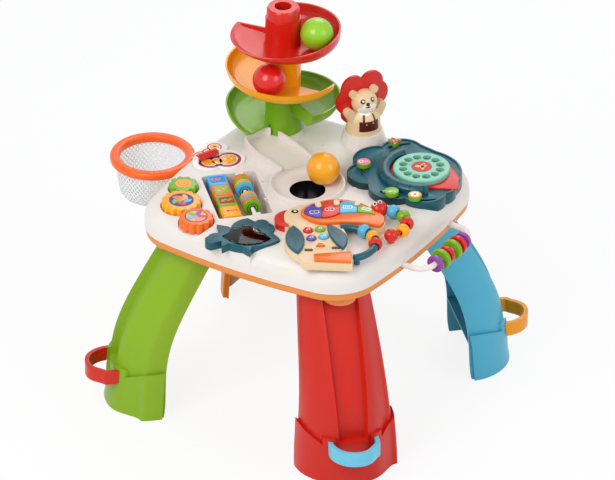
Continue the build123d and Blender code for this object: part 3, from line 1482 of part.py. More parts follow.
NET_T = 1.6
with BuildPart() as hoop_net:
    with BuildSketch(Plane.XZ.offset(-HOOP_Y)):
        with BuildLine():
            Polyline((HOOP_X + 57.5, 295.9), (HOOP_X + 55, 295.9), (HOOP_X + 49.5, 250))
            ThreePointArc((HOOP_X + 49.5, 250), (HOOP_X + 46, 242), (HOOP_X + 38, 239))
            Polyline((HOOP_X + 38, 239), (HOOP_X, 238), (HOOP_X, 238 - NET_T), (HOOP_X + 38, 239 - NET_T))
            ThreePointArc((HOOP_X + 38, 239 - NET_T), (HOOP_X + 47.1, 240.9), (HOOP_X + 51.1, 250))
            Polyline(
                (HOOP_X + 51.1, 250), (HOOP_X + 56.4, 294.3), (HOOP_X + 57.5, 294.3), (HOOP_X + 57.5, 295.9)
            )
        make_face()
    revolve(axis=Axis((HOOP_X, HOOP_Y, 0), (0, 0, 1)))
finish(hoop_net.part, "hoop_net")
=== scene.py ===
# %% [markdown]
# # A musical activity table, dressed in Blender
# The CAD model gives every moulded piece at its real place and size, in metres.
# This lesson gives those pieces their finishes, softens their edges and adds what a
# solid model leaves out: the net, the pictures, the faces and the small ornaments.
# %% Load the frame
import json
import math
import random

import bmesh
import bpy
from mathutils import Matrix, Vector

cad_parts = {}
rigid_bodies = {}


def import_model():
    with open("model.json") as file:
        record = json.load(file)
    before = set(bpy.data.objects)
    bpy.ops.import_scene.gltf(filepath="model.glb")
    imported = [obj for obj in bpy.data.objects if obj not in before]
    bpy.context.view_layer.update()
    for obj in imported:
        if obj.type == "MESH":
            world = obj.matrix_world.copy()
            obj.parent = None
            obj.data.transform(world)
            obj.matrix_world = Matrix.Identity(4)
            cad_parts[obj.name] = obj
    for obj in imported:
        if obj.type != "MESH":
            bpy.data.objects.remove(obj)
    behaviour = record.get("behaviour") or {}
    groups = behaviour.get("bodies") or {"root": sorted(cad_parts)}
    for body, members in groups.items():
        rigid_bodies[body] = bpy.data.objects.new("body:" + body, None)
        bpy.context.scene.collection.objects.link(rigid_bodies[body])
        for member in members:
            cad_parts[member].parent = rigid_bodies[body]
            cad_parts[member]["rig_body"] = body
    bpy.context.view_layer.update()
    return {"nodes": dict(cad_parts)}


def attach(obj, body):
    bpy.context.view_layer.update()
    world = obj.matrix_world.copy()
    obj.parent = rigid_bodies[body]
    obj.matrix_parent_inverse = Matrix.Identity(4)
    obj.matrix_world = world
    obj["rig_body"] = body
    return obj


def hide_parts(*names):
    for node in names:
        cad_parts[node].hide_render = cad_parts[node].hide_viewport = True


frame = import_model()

MM = 0.001
UP = Vector((0, 0, 1))
print("nodes in the frame:", len(frame["nodes"]))

# %% [markdown]
# ## Camera
# A catalogue picture of a toy is taken from far away with a long lens, so that the
# legs don't splay. A 460 mm lens twelve metres off does the same, and the angle round
# the table and above it are two plain numbers.
# %% Place the camera
AROUND, ABOVE = math.radians(31.95), math.radians(31.3)
FAR = 12.0
LENS = 463.6
FRAME_UP = 0.2024


def place_camera():
    """Camera on a long lens that looks down at the table from its corner."""
    away = Vector((math.sin(AROUND) * math.cos(ABOVE), -math.cos(AROUND) * math.cos(ABOVE), math.sin(ABOVE)))
    right = Vector((math.cos(AROUND), math.sin(AROUND), 0))
    upward = away.cross(right)
    data = bpy.data.cameras.new("camera")
    data.lens, data.sensor_width = LENS, 36
    data.clip_start, data.clip_end = 1, 60
    camera = bpy.data.objects.new("camera", data)
    camera.location = upward * FRAME_UP + away * FAR
    camera.rotation_euler = away.to_track_quat("Z", "Y").to_euler()
    bpy.context.scene.collection.objects.link(camera)
    bpy.context.scene.camera = camera
    bpy.context.scene.view_settings.view_transform = "Standard"
    return right, upward, away


RIGHT, UPWARD, AWAY = place_camera()
print("camera stands at", [round(v, 2) for v in bpy.context.scene.camera.location])

# %% [markdown]
# ## Shader maths as Python
# A material is a small network of nodes. Wiring it by hand hides what it computes, so
# a thin class wraps each output and lets it be added, multiplied and compared like a
# number. One method makes every kind of node.


# %% Wrap sockets and materials
class Wire:
    """One output of a shader node, which can be used in sums."""

    def __init__(self, paint, socket):
        self.paint, self.socket = paint, socket

    def maths(self, operation, a, b=0.0):
        return self.paint.node("ShaderNodeMath", {"operation": operation}, {0: a, 1: b})

    def __add__(self, other):
        return self.maths("ADD", self, other)

    def __sub__(self, other):
        return self.maths("SUBTRACT", self, other)

    def __rsub__(self, other):
        return self.maths("SUBTRACT", other, self)

    def __mul__(self, other):
        return self.maths("MULTIPLY", self, other)

    def __gt__(self, other):
        return self.maths("GREATER_THAN", self, other)

    def __lt__(self, other):
        return self.maths("LESS_THAN", self, other)

    __radd__ = __add__
    __rmul__ = __mul__


class Paint:
    """A material with one Principled shader and a way to add nodes to it."""

    def __init__(self, name):
        self.material = bpy.data.materials.new(name)
        self.material.use_nodes = True
        self.tree = self.material.node_tree
        self.tree.nodes.clear()
        self.shader = self.tree.nodes.new("ShaderNodeBsdfPrincipled")
        self.output = self.tree.nodes.new("ShaderNodeOutputMaterial")
        self.tree.links.new(self.shader.outputs[0], self.output.inputs[0])

    def feed(self, socket, value):
        """Links a wire to a socket, or sets the socket's own value."""
        if isinstance(value, Wire):
            self.tree.links.new(value.socket, socket)
        elif value is not None:
            socket.default_value = value

    def node(self, kind, settings=None, inputs=None, output=0):
        """Any node: its settings first, then its inputs, and one of its outputs back."""
        made = self.tree.nodes.new(kind)
        for key, value in (settings or {}).items():
            if key == "stops":
                ramp = made.color_ramp.elements
                while len(ramp) < len(value):
                    ramp.new(0.5)
                for stop, (place, colour) in zip(ramp, value):
                    stop.position, stop.color = place, colour
            else:
                setattr(made, key, value)
        for key, value in (inputs or {}).items():
            self.feed(made.inputs[key], value)
        return Wire(self, made.outputs[output])

    def set(self, **values):
        """Sets or links the shader's own sockets."""
        for key, value in values.items():
            self.feed(self.shader.inputs[key.replace("_", " ")], value)

    def blend(self, mask, a, b):
        """Colour b where the mask is 1 and a where it is 0."""
        return self.node("ShaderNodeMix", {"data_type": "RGBA"}, {0: mask, 6: a, 7: b}, 2)

    def spot(self):
        """Place on the object, in metres."""
        return self.node("ShaderNodeTexCoord", None, None, 3)

    def axis(self, which, place=None):
        """One coordinate of a place."""
        return self.node("ShaderNodeSeparateXYZ", None, {0: place or self.spot()}, which)

    def noise(self, scale, detail=2.0):
        """Grey cloud between 0 and 1."""
        return self.node("ShaderNodeTexNoise", None, {"Vector": self.spot(), "Scale": scale, "Detail": detail})


def tone(red, green, blue):
    """Colour as it is written on screen, 0 to 255, in the linear values that a shader takes."""
    shares = (red, green, blue)
    return tuple(((c / 255 + 0.055) / 1.055) ** 2.4 if c > 10 else c / 255 / 12.92 for c in shares) + (1.0,)


print("shader helpers ready")

# %% [markdown]
# ## Moulded plastic
# Nearly everything here is injection moulded ABS. Up close such plastic is never one
# flat colour: the pigment swirls a little, the skin has a fine spark-eroded grain, and
# handling leaves patches that are glossier than the rest. Three noises at three scales
# carry that, and each piece only chooses its colour, its gloss and its grain.


# %% The plastic finish
def plastic(name, colour, rough=0.3, grain=0.06, coat=0.0, paint_over=None):
    """Moulded plastic. paint_over takes the paint and its base colour and returns a new colour."""
    paint = Paint(name)
    cloud = paint.noise(14.0, 3.0)
    deep = tuple(c * 0.88 for c in colour[:3]) + (1.0,)
    base = paint.blend(cloud * 0.5, colour, deep)
    if paint_over:
        base = paint_over(paint, base)
    wear = paint.noise(38.0, 4.0)
    skin = paint.noise(1500.0, 2.0)
    bump = paint.node("ShaderNodeBump", None, {"Strength": grain, "Distance": 0.0006, "Height": skin})
    paint.set(Base_Color=base, Roughness=wear * 0.14 + (rough - 0.07), Normal=bump)
    paint.set(Coat_Weight=coat * 0.6, Coat_Roughness=0.12, Specular_IOR_Level=0.34)
    return paint.material


WARM_WHITE = plastic("warm_white", tone(236, 228, 221), 0.36, 0.05)
RIM_ORANGE = plastic("rim_orange", tone(232, 142, 66), 0.4, 0.08)
LEG_GREEN = plastic("leg_green_plastic", tone(136, 176, 24), 0.34, 0.08)
LEG_RED = plastic("leg_red_plastic", tone(206, 34, 18), 0.34, 0.08)
LEG_BLUE = plastic("leg_blue_plastic", tone(78, 176, 206), 0.34, 0.08)
LEG_YELLOW = plastic("leg_yellow_plastic", tone(222, 134, 10), 0.34, 0.08)
LOOP_RED = plastic("loop_red", tone(210, 40, 20), 0.27, 0.05)
LOOP_BLUE = plastic("loop_blue", tone(110, 200, 228), 0.25, 0.05)
LOOP_YELLOW = plastic("loop_yellow", tone(244, 158, 14), 0.25, 0.05)
RED = plastic("toy_red", tone(214, 32, 18), 0.24, 0.04, 0.2)
YELLOW = plastic("toy_yellow", tone(250, 170, 14), 0.22, 0.04, 0.3)
GREEN = plastic("toy_green", tone(122, 176, 18), 0.24, 0.04, 0.3)
ORANGE = plastic("toy_orange", tone(246, 112, 26), 0.24, 0.04, 0.2)
HOOP_ORANGE = plastic("hoop_orange", tone(250, 102, 28), 0.28, 0.05, 0.2)
PURPLE = plastic("toy_purple", tone(146, 70, 166), 0.24, 0.04, 0.2)
VIOLET = plastic("toy_violet", tone(86, 78, 168), 0.26, 0.04, 0.2)
SKY = plastic("toy_blue", tone(84, 184, 220), 0.24, 0.04, 0.2)
MINT = plastic("mint", tone(128, 200, 174), 0.3, 0.04, 0.2)
TEAL = plastic("teal", tone(0, 84, 98), 0.3, 0.05, 0.15)
SEA = plastic("tray_floor", tone(28, 96, 110), 0.36, 0.05)
DARK_TEAL = plastic("dark_teal", tone(4, 46, 56), 0.32, 0.05, 0.2)
CREAM = plastic("cream", tone(236, 208, 168), 0.34, 0.05)
PINK = plastic("toy_pink", tone(246, 124, 168), 0.24, 0.04, 0.2)
PEARL = plastic("white_gloss", tone(250, 248, 244), 0.22, 0.03, 0.2)
# Black for batteries, eyes and prints; the same material is also painted shade inside the drop tube.
BLACK_AND_PAINTED_SHADE = plastic("black_and_painted_shade", tone(12, 10, 12), 0.22, 0.02, 0.4)
BROWN = plastic("brown", tone(92, 40, 26), 0.4, 0.05)
STEEL = plastic("screw_steel", tone(176, 176, 178), 0.3, 0.03)
CIRCUIT = plastic("circuit_green", tone(40, 110, 70), 0.5, 0.05)
INDIGO = plastic("print_indigo", tone(70, 50, 140), 0.4, 0.02)
PRINT_BLUE = plastic("print_blue", tone(40, 132, 226), 0.4, 0.02)
CARDINAL = plastic("print_dark_red", tone(186, 22, 24), 0.4, 0.02)
STEEL.node_tree.nodes["Principled BSDF"].inputs["Metallic"].default_value = 1.0
print("plastics:", len(bpy.data.materials))

# %% [markdown]
# ## Softened edges
# A CAD solid arrives as loose triangles with knife-sharp edges, which no moulding has.
# A merged copy of it can be bevelled: the light then catches every rim, which is most
# of what makes plastic look moulded. The copy stands for the node, and rides with it.


# %% Copy a node, join its facets and round its edges
def keep(name, bm, body, *materials, sharp=34.0):
    """Turns a bmesh into a finished piece that rides on a body."""
    mesh = bpy.data.meshes.new(name)
    for face in bm.faces:
        face.smooth = True
    for edge in bm.edges:
        if len(edge.link_faces) == 2 and edge.calc_face_angle(0.0) > math.radians(sharp):
            edge.smooth = False
    bm.to_mesh(mesh)
    bm.free()
    for material in materials:
        mesh.materials.append(material)
    piece = bpy.data.objects.new(name, mesh)
    bpy.context.scene.collection.objects.link(piece)
    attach(piece, body)
    return piece


def body_of(node):
    """The moving body that a CAD node belongs to."""
    return frame["nodes"][node]["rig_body"]


def soften(bm, width, segments=2, over=32.0):
    """Bevels every edge that is sharper than an angle."""
    edges = [e for e in bm.edges if len(e.link_faces) == 2 and e.calc_face_angle(0.0) > math.radians(over)]
    bmesh.ops.bevel(
        bm, geom=edges, offset=width, offset_type="OFFSET", segments=segments, profile=0.5, affect="EDGES",
        clamp_overlap=True, material=-1, loop_slide=True,
    )


def dressed(node, *materials, width=0.0, choose=None, segments=2, reshape=None):
    """A merged, bevelled copy of a CAD node, with a material chosen by the place of each face."""
    bm = bmesh.new()
    bm.from_mesh(frame["nodes"][node].data)
    bmesh.ops.remove_doubles(bm, verts=bm.verts, dist=2e-6)
    bmesh.ops.dissolve_limit(bm, angle_limit=math.radians(1.2), verts=bm.verts, edges=bm.edges)
    if reshape:
        for vert in bm.verts:
            vert.co = reshape(vert.co)
    if width:
        soften(bm, width, segments)
    if choose:
        for face in bm.faces:
            face.material_index = choose(face.calc_center_median() / MM)
    piece = keep("skin_" + node, bm, body_of(node), *materials)
    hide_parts(node)
    return piece


PLAIN = {  # material and width of the bevel in millimetres
    "bottom_shell": (RIM_ORANGE, 0.0), "battery_door": (RIM_ORANGE, 0.0), "batteries": (BLACK_AND_PAINTED_SHADE, 0.0),
    "sound_module": (CIRCUIT, 0.0), "screws": (STEEL, 0.0), "top_shell": (WARM_WHITE, 0.0),
    "leg_green": (LEG_GREEN, 0.0), "leg_red": (LEG_RED, 0.0),
    "leg_blue": (LEG_BLUE, 0.0), "leg_yellow": (LEG_YELLOW, 0.0),
    "hoop_ring": (HOOP_ORANGE, 0.0), "rail_tube": (WARM_WHITE, 0.0), "lion_mane": (RED, 1.0),
    "butterfly_plate": (PEARL, 0.6), "ribbed_roller": (RED, 0.0), "tray_rods": (PEARL, 0.0),
    "block_blue": (SKY, 0.0), "block_orange": (ORANGE, 0.0),
    "block_green": (GREEN, 0.0), "block_yellow": (YELLOW, 0.0),
    "toucan_key_bed": (ORANGE, 1.2), "toucan_wings": (TEAL, 0.0),
    "key_purple": (VIOLET, 0.6), "key_red": (RED, 0.6), "key_blue": (SKY, 0.6), "key_green": (GREEN, 0.6),
    "button_red": (RED, 0.0), "button_green": (GREEN, 0.0),
    "button_purple": (VIOLET, 0.0), "button_blue": (SKY, 0.0),
    "switch_slider": (ORANGE, 0.6), "bead_ring": (TEAL, 0.0), "worm_rod": (RED, 0.0), "bird_beak": (RED, 0.6),
    "bird_dial": (MINT, 0.8), "slider_berry": (GREEN, 0.8), "slider_melon": (GREEN, 0.8),
    "slider_pear": (GREEN, 0.8), "slider_orange": (GREEN, 0.8),
    "ramp_red": (RED, 0.0), "ramp_yellow": (YELLOW, 0.0), "ramp_green": (GREEN, 0.0),
}
for node, (material, width) in PLAIN.items():
    dressed(node, material, width=width * MM)
print("plain mouldings dressed:", len(PLAIN))


# %% Painted shade in the drop tube
def painted_shade_in_tube(place):
    """1 for the tube under the bowl and the pocket it ends in, painted black as the shade seen down the hole."""
    return int(place.z < 323 and math.hypot(place.x, place.y + 3) < 42)


# Painted shade: the faces inside the drop tube and its pocket are black to stand for the dark seen down the hole.
dressed("ball_dish", WARM_WHITE, BLACK_AND_PAINTED_SHADE, choose=painted_shade_in_tube)
print("dish and its lining dressed")

# %% [markdown]
# ## Gears with rounded lobes
# The CAD gears mesh with straight-sided teeth. The real ones have a soft lobe for each
# tooth, so a scalloped wheel with the same centre, teeth and phase stands for each.
# %% Turn the gears
GEAR_LOW, GEAR_THICK = 323.0, 15.9
LOBE_OUT, LOBE_DEEP = 1.9, 4.2
GEARS = {  # centre, teeth, pitch radius, colour
    "yellow": (-131.1, -144.4, 14, 28.0, YELLOW),
    "green": (-154.6, -102.5, 10, 20.0, GREEN),
    "orange": (-87.1, -172.0, 12, 24.0, ORANGE),
}


def gear_phase(colour):
    """Angle of the first tooth, so that the lobes of neighbours interleave."""
    yellow_x, yellow_y, yellow_teeth, yellow_pitch = GEARS["yellow"][:4]
    first = math.atan2(GEARS["green"][1] - yellow_y, GEARS["green"][0] - yellow_x)
    if colour == "yellow":
        return first
    x, y, teeth, pitch = GEARS[colour][:4]
    line = math.atan2(y - yellow_y, x - yellow_x)
    step = 2 * math.pi / yellow_teeth
    lead = (first - line + step / 2) % step - step / 2
    return line + math.pi - lead * yellow_pitch / pitch + math.pi / teeth


for colour, (x, y, teeth, pitch, plastic_used) in GEARS.items():
    bm = bmesh.new()
    middle = Vector((x, y, GEAR_LOW)) * MM
    bmesh.ops.create_circle(
        bm, cap_ends=True, segments=teeth * 12, radius=pitch * MM, matrix=Matrix.Translation(middle)
    )
    for vert in bm.verts:
        bearing = math.atan2(vert.co.y - middle.y, vert.co.x - middle.x)
        lobe = abs(math.cos(teeth * (bearing - gear_phase(colour)) / 2))
        reach = pitch + LOBE_OUT - LOBE_DEEP * (1 - lobe ** 0.8)
        vert.co = middle + (vert.co - middle).normalized() * reach * MM
    out = bmesh.ops.extrude_face_region(bm, geom=bm.faces[:])
    lifted = [part for part in out["geom"] if isinstance(part, bmesh.types.BMVert)]
    bmesh.ops.translate(bm, vec=UP * GEAR_THICK * MM, verts=lifted)
    rim = [part for part in out["geom"] if isinstance(part, bmesh.types.BMEdge)]
    bmesh.ops.bevel(
        bm, geom=rim, offset=1.5 * MM, offset_type="OFFSET", segments=4, profile=0.5, affect="EDGES",
        clamp_overlap=True, material=-1,
    )
    bmesh.ops.recalc_face_normals(bm, faces=bm.faces)
    wheel = keep(f"skin_gear_{colour}", bm, body_of(f"gear_{colour}"), plastic_used)
    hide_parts(f"gear_{colour}")
print("gears:", len(GEARS))

# %% [markdown]
# ## Play balls
# A play ball is blown in a mould of two halves. A finely divided sphere takes the place
# of each faceted solid, so that its outline and its highlight stay round.
# %% Turn the balls
BALL_R = 25
BALLS = {"green": (-64.86, 130.49, 509.80), "orange": (9.9, 28.6, 350.0), "red": (-108.65, 65.46, 448.53)}
BALL_PAINTS = {
    "green": plastic("ball_green_plastic", tone(150, 208, 40), 0.2, 0.02, 0.5),
    "orange": plastic("ball_orange_plastic", tone(250, 168, 22), 0.2, 0.02, 0.5),
    "red": plastic("ball_red_plastic", tone(222, 30, 24), 0.2, 0.02, 0.5),
}
for colour, place in BALLS.items():
    bm = bmesh.new()
    bmesh.ops.create_uvsphere(
        bm, u_segments=56, v_segments=28, radius=BALL_R * MM, matrix=Matrix.Translation(Vector(place) * MM)
    )
    ball = keep(f"skin_ball_{colour}", bm, body_of(f"ball_{colour}"), BALL_PAINTS[colour])
    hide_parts(f"ball_{colour}")
print("balls:", len(BALLS))

# %% [markdown]
# ## Rows of beads and loops in several colours
# The CAD model holds each row of beads in one node. On the real toy each bead has its
# own colour, so the copy picks a material by where a face lies.


# %% Choose colours by place
def by_bearing(centre, *bounds):
    """Index of the stretch, counted by angle round a centre, in which a face lies."""

    def choose(place):
        bearing = math.degrees(math.atan2(place.y - centre[1], place.x - centre[0]))
        return sum(bearing < bound for bound in bounds)

    return choose


def quarter(place):
    """0 green leg, 1 red leg, 2 blue leg, 3 yellow leg."""
    if place.y < 0:
        return 0 if place.x < 0 else 1
    return 2 if place.x > 0 else 3


TURN = 31.95  # toucan, fish, bead colours and fruit faces are turned by this many degrees
RING_AT = (143.05, -123.46)
WORM_AT = (157.86, -47.06)
dressed("leg_loops", LOOP_RED, LOOP_BLUE, LOOP_YELLOW, GREEN, choose=quarter, width=1.2 * MM)
dressed("ring_beads", SKY, YELLOW, RED, choose=by_bearing(RING_AT, TURN + 37, TURN + 10))
dressed("worm_beads", SKY, GREEN, RED, YELLOW, choose=by_bearing(WORM_AT, TURN + 45, TURN + 14, TURN - 18))


STACK_STARTS = (-46.9, 3.7)
DISC_PITCH = 7.5


def along_axle(place):
    """Which of the eight discs a face belongs to."""
    u = (place.x - place.y) / math.sqrt(2)
    stack = 0 if u < -10 else 1
    return 4 * stack + min(3, max(0, round((u - STACK_STARTS[stack]) / DISC_PITCH)))


dressed(
    "disc_stacks", ORANGE, GREEN, YELLOW, SKY, YELLOW, SKY, ORANGE, GREEN, choose=along_axle, width=0.8 * MM
)


def along_rail(place):
    """Which of the six rail beads a face belongs to."""
    return sum(place.y > bound for bound in (-20, -5, 11, 27, 43))


dressed("rail_beads", PURPLE, GREEN, RED, GREEN, RED, PURPLE, choose=along_rail, width=1.6 * MM, segments=3)
print("rows of beads dressed")

# %% [markdown]
# ## Two-tone mouldings
# The toucan's beak, the floor of the bird tray and the bed of the fish window are other
# colours than the rest of their moulding. A face's height and its place in the plan tell
# them apart.


# %% Dress the toucan, the bird tray and the fish
TOUCAN_AT = Vector((99.8, -129.7, 0))
FISH_AT = Vector((3.8, -179.0, 0))
DIAL_AT = (131.5, 111.5)


def to_plan(place, origin):
    """A place in the turned plan of the toucan or the fish, in millimetres."""
    turned = Matrix.Rotation(-math.radians(TURN), 3, "Z") @ (place - origin)
    return turned.x, turned.y


def from_plan(x, y, z, origin):
    """The place on the table of a point of such a plan, in millimetres."""
    return Matrix.Rotation(math.radians(TURN), 3, "Z") @ Vector((x, y, 0)) + origin + Vector((0, 0, z))


def beak_or_head(place):
    """1 for the beak and the faces next to it at one height, 0 for the rest of the toucan."""
    x, y = to_plan(place, TOUCAN_AT)
    return 1 if x < -50.5 or (x < -42 and abs(place.z - 339.6) < 0.3) else 0


def tray_parts(place):
    """0 body of the tray, 1 its floor, 2 its low faces away from the table's edge."""
    if abs(place.z - 339) < 0.25:
        return 1
    return 2 if place.z < 337 and max(abs(place.x), abs(place.y)) < 150 and place.z > 333 else 0


def fish_parts(place):
    """1 for the bed under the window."""
    return 1 if 323 < place.z < 325 else 0


def arch_joints(paint, base):
    """Fine dark joints between the segments of the arched band round the dial."""
    spot = paint.spot()
    x, y = paint.axis(0, spot) - DIAL_AT[0] * MM, paint.axis(1, spot) - DIAL_AT[1] * MM
    bearing = paint.node("ShaderNodeMath", {"operation": "ARCTAN2"}, {0: y, 1: x})
    reach = paint.node("ShaderNodeMath", {"operation": "SQRT"}, {0: x * x + y * y})
    step = paint.node("ShaderNodeMath", {"operation": "FRACT"}, {0: bearing * (180 / math.pi / 19.0) + 20.0})
    high = paint.axis(2, spot) > 341.8 * MM
    joint = (step < 0.075) * high * (reach < 66.5 * MM)
    return paint.blend(joint, base, tone(1, 26, 34))


TRAY_TEAL = plastic("tray_teal", tone(0, 80, 94), 0.3, 0.05, 0.2, paint_over=arch_joints)
BEAD_BED = plastic("bead_bed", tone(206, 192, 194), 0.5, 0.05)
dressed("toucan_body", CREAM, RED, width=1.2 * MM, choose=beak_or_head)
dressed("bird_tray", TRAY_TEAL, SEA, DARK_TEAL, width=0.8 * MM, choose=tray_parts)


def wider_window(place):
    """Moves the edge of the leaf-shaped window outwards, to leave a slim ring round it."""
    x, y = to_plan(place / MM, FISH_AT)
    middle = 4 - 7 * (x + 33) / 69
    aside, share = y - middle, 1 - ((x - 1.5) / 34.5) ** 2
    edge, factor = (19, 32 / 19) if aside > 0 else (15, 20 / 15)
    if not -36 < x < 39 or abs(aside) > edge * max(0.0, share) + 2.6:
        return place
    moved = from_plan(x, middle + aside * factor, 0, FISH_AT)
    return Vector((moved.x * MM, moved.y * MM, place.z))


dressed("fish_frame", TEAL, BEAD_BED, reshape=wider_window, width=1.4 * MM, segments=3, choose=fish_parts)
print("two-tone mouldings dressed")

# %% [markdown]
# ## The lion's face and clothes
# These are printed on the real figure, so they belong in its material. Each mark is the
# set of points nearer than a radius to a place on the surface, which gives a crisp round
# edge without any extra faces.


# %% Paint the lion
def near(paint, spot, place, radius):
    """1 within a radius of a place in millimetres."""
    gap = paint.node("ShaderNodeVectorMath", {"operation": "DISTANCE"}, {0: spot, 1: Vector(place) * MM}, 1)
    return gap < radius * MM


HEAD_AT, HEAD_R = (-0.2, 161.1, 398), 20


def on_head(bearing, above):
    """A place on the lion's round head, by compass bearing and height in degrees."""
    bearing, above = math.radians(bearing), math.radians(above)
    reach = HEAD_R * math.cos(above)
    return (
        HEAD_AT[0] + reach * math.cos(bearing),
        HEAD_AT[1] + reach * math.sin(bearing),
        HEAD_AT[2] + HEAD_R * math.sin(above),
    )


def lion_marks(paint, base):
    """White muzzle, eyes, nose, mouth and brown dungarees."""
    spot = paint.spot()
    bearing = paint.node(
        "ShaderNodeMath", {"operation": "ARCTAN2"},
        {0: paint.axis(1, spot) - 162 * MM, 1: paint.axis(0, spot) + 2 * MM},
    )
    z = paint.axis(2, spot)
    turn = (bearing * (180 / math.pi)) + 35.0
    aside = paint.node("ShaderNodeMath", {"operation": "ABSOLUTE"}, {0: turn})
    bib = (aside < 37.0) * (z < 374.5 * MM) * (z > 358 * MM)
    straps = (aside > 17.0) * (aside < 25.0) * (z > 366 * MM) * (z < 384 * MM)
    colour = paint.blend(bib, base, tone(84, 26, 18))
    colour = paint.blend(straps, colour, tone(84, 26, 18))
    for place, radius, shade in (
        (on_head(-41, -14), 10.5, (250, 246, 240)), (on_head(-70, -22), 7.0, (250, 246, 240)),
        (on_head(-14, -10), 7.0, (250, 246, 240)),
        (on_head(-64, 27), 3.8, (60, 20, 16)), (on_head(-11, 30), 3.8, (60, 20, 16)),
        (on_head(-62, 28), 1.7, (250, 248, 244)), (on_head(-9, 31), 1.7, (250, 248, 244)),
        (on_head(-40, 14), 3.0, (70, 22, 16)), (on_head(-40, 6), 1.1, (90, 34, 26)),
        (on_head(-48, 1), 1.1, (90, 34, 26)), (on_head(-44, -1), 1.1, (90, 34, 26)),
        (on_head(-40, 0), 1.1, (90, 34, 26)),
        (on_head(-36, -1), 1.1, (90, 34, 26)), (on_head(-32, 2), 1.1, (90, 34, 26)),
        ((14.9, 144.2, 370), 1.4, (238, 200, 150)), ((20.9, 152.6, 371), 1.4, (238, 200, 150)),
    ):
        mark = near(paint, spot, place, radius) * (z > 381.5 * MM if place[2] > 380 else 1.0)
        colour = paint.blend(mark, colour, tone(*shade))
    return colour


dressed("lion_figure", plastic("lion_cream", tone(238, 208, 164), 0.34, 0.05, 0.1, paint_over=lion_marks))
print("lion painted")

# %% [markdown]
# ## Inlays
# Stickers, printed labels and small raised ornaments are thin plates on a surface. One
# helper collects the plates of one piece: an oval or a rounded bar is drawn flat in a
# plane of its own and extruded a fraction of a millimetre.


# %% Thin shapes on a plane
def level(x, y, z, turn=0.0):
    """Plane on a level surface, in millimetres, turned round the vertical."""
    place = Matrix.Translation(Vector((x, y, z)) * MM)
    return place @ Matrix.Rotation(math.radians(turn), 4, "Z") @ Matrix.Scale(MM, 4)


class Inlay:
    """Thin plates in several colours that make one piece."""

    def __init__(self, name, body, plane, *materials):
        self.name, self.body, self.plane, self.materials = name, body, plane, materials
        self.bm = bmesh.new()

    def thicken(self, face, high, colour):
        """Extrudes a flat face and colours its sides and top."""
        out = bmesh.ops.extrude_face_region(self.bm, geom=[face])
        lifted = [part for part in out["geom"] if isinstance(part, bmesh.types.BMVert)]
        lift = (self.plane.to_3x3() @ UP) * high
        bmesh.ops.translate(self.bm, vec=lift, verts=lifted)
        for vert in lifted:
            for side in vert.link_faces:
                side.material_index = colour

    def oval(self, x, y, wide, long=None, turn=0.0, low=-0.3, high=0.25, colour=0, steps=28):
        """Plate with an oval outline. wide and long are radii."""
        place = self.plane @ Matrix.Translation((x, y, low)) @ Matrix.Rotation(math.radians(turn), 4, "Z")
        ring = bmesh.ops.create_circle(
            self.bm, cap_ends=True, segments=steps, radius=1.0,
            matrix=place @ Matrix.Diagonal((wide, long or wide, 1, 1)),
        )
        self.thicken(ring["verts"][0].link_faces[0], high - low, colour)

    def bar(self, x, y, wide, long, turn=0.0, soft=1.0, low=-0.3, high=0.25, colour=0):
        """Plate with a rounded rectangular outline. wide and long are full sizes."""
        place = self.plane @ Matrix.Translation((x, y, low)) @ Matrix.Rotation(math.radians(turn), 4, "Z")
        grid = bmesh.ops.create_grid(
            self.bm, x_segments=1, y_segments=1, size=0.5, matrix=place @ Matrix.Diagonal((wide, long, 1, 1))
        )
        bevel = bmesh.ops.bevel(
            self.bm, geom=grid["verts"], offset=soft * MM, offset_type="OFFSET", segments=4, profile=0.5,
            affect="VERTICES", clamp_overlap=True, material=-1,
        )
        self.thicken(bevel["faces"][0] if bevel["faces"] else bevel["verts"][0].link_faces[0], high - low, colour)

    def done(self):
        """Finishes the plates as one piece."""
        bmesh.ops.recalc_face_normals(self.bm, faces=self.bm.faces)
        return keep(self.name, self.bm, self.body, *self.materials)


print("inlay helper ready")

# %% [markdown]
# ## Butterfly, gears and picture blocks
# The butterfly's wings are rings of colour inside each other: each ring is the same pair
# of lobes, a little smaller and a little higher. The gears and blocks carry round and
# square stickers with plain generic motifs: petals, a fish, a flower, a carrot.
# %% Butterfly wings
wings = Inlay("butterfly_print", "table", level(0, 0, 333.9), RED, INDIGO, PEARL, YELLOW, ORANGE, TEAL)
NEAR_LOBES = ((-139.5, -1.5, 19.5, 21.5, 10), (-159.0, -25.0, 17.0, 14.2, 0), (-151.0, -14.0, 14.0, 14.5, 0))
FAR_LOBES = ((-177.0, 19.0, 11.3, 11.6, 0), (-185.8, -12.0, 5.8, 10.8, -10), (-181.0, 3.0, 5.6, 8.0, 0))
for lobes, rings in (
    (NEAR_LOBES, ((0.0, 0), (2.8, 1), (5.2, 2), (6.3, 3))), (FAR_LOBES, ((0.0, 0), (2.6, 2), (3.6, 3))),
):
    for step, (shrink, colour) in enumerate(rings):
        for x, y, wide, long, turn in lobes:
            wings.oval(x, y, wide - shrink, long - shrink, turn, high=0.15 + 0.06 * step, colour=colour, steps=40)
for x, y, wide, colour in (
    (-130, 9, 2.2, 2), (-137, 4, 1.8, 2), (-144, -2, 1.8, 2), (-151, -18, 2.0, 2), (-155, -28, 1.6, 4),
    (-133, -8, 1.8, 4), (-144, 8, 1.4, 2), (-160, -24, 1.2, 4), (-177, 20, 2.6, 5), (-186, -10, 1.3, 5),
):
    wings.oval(x, y, wide, wide * 0.8, high=0.4, colour=colour, steps=16)
wings.done()
print("butterfly wings laid")

# %% Gear stickers
def gear_top(colour):
    """Plane on top of a gear."""
    return level(*GEARS[colour][:2], 339.0)


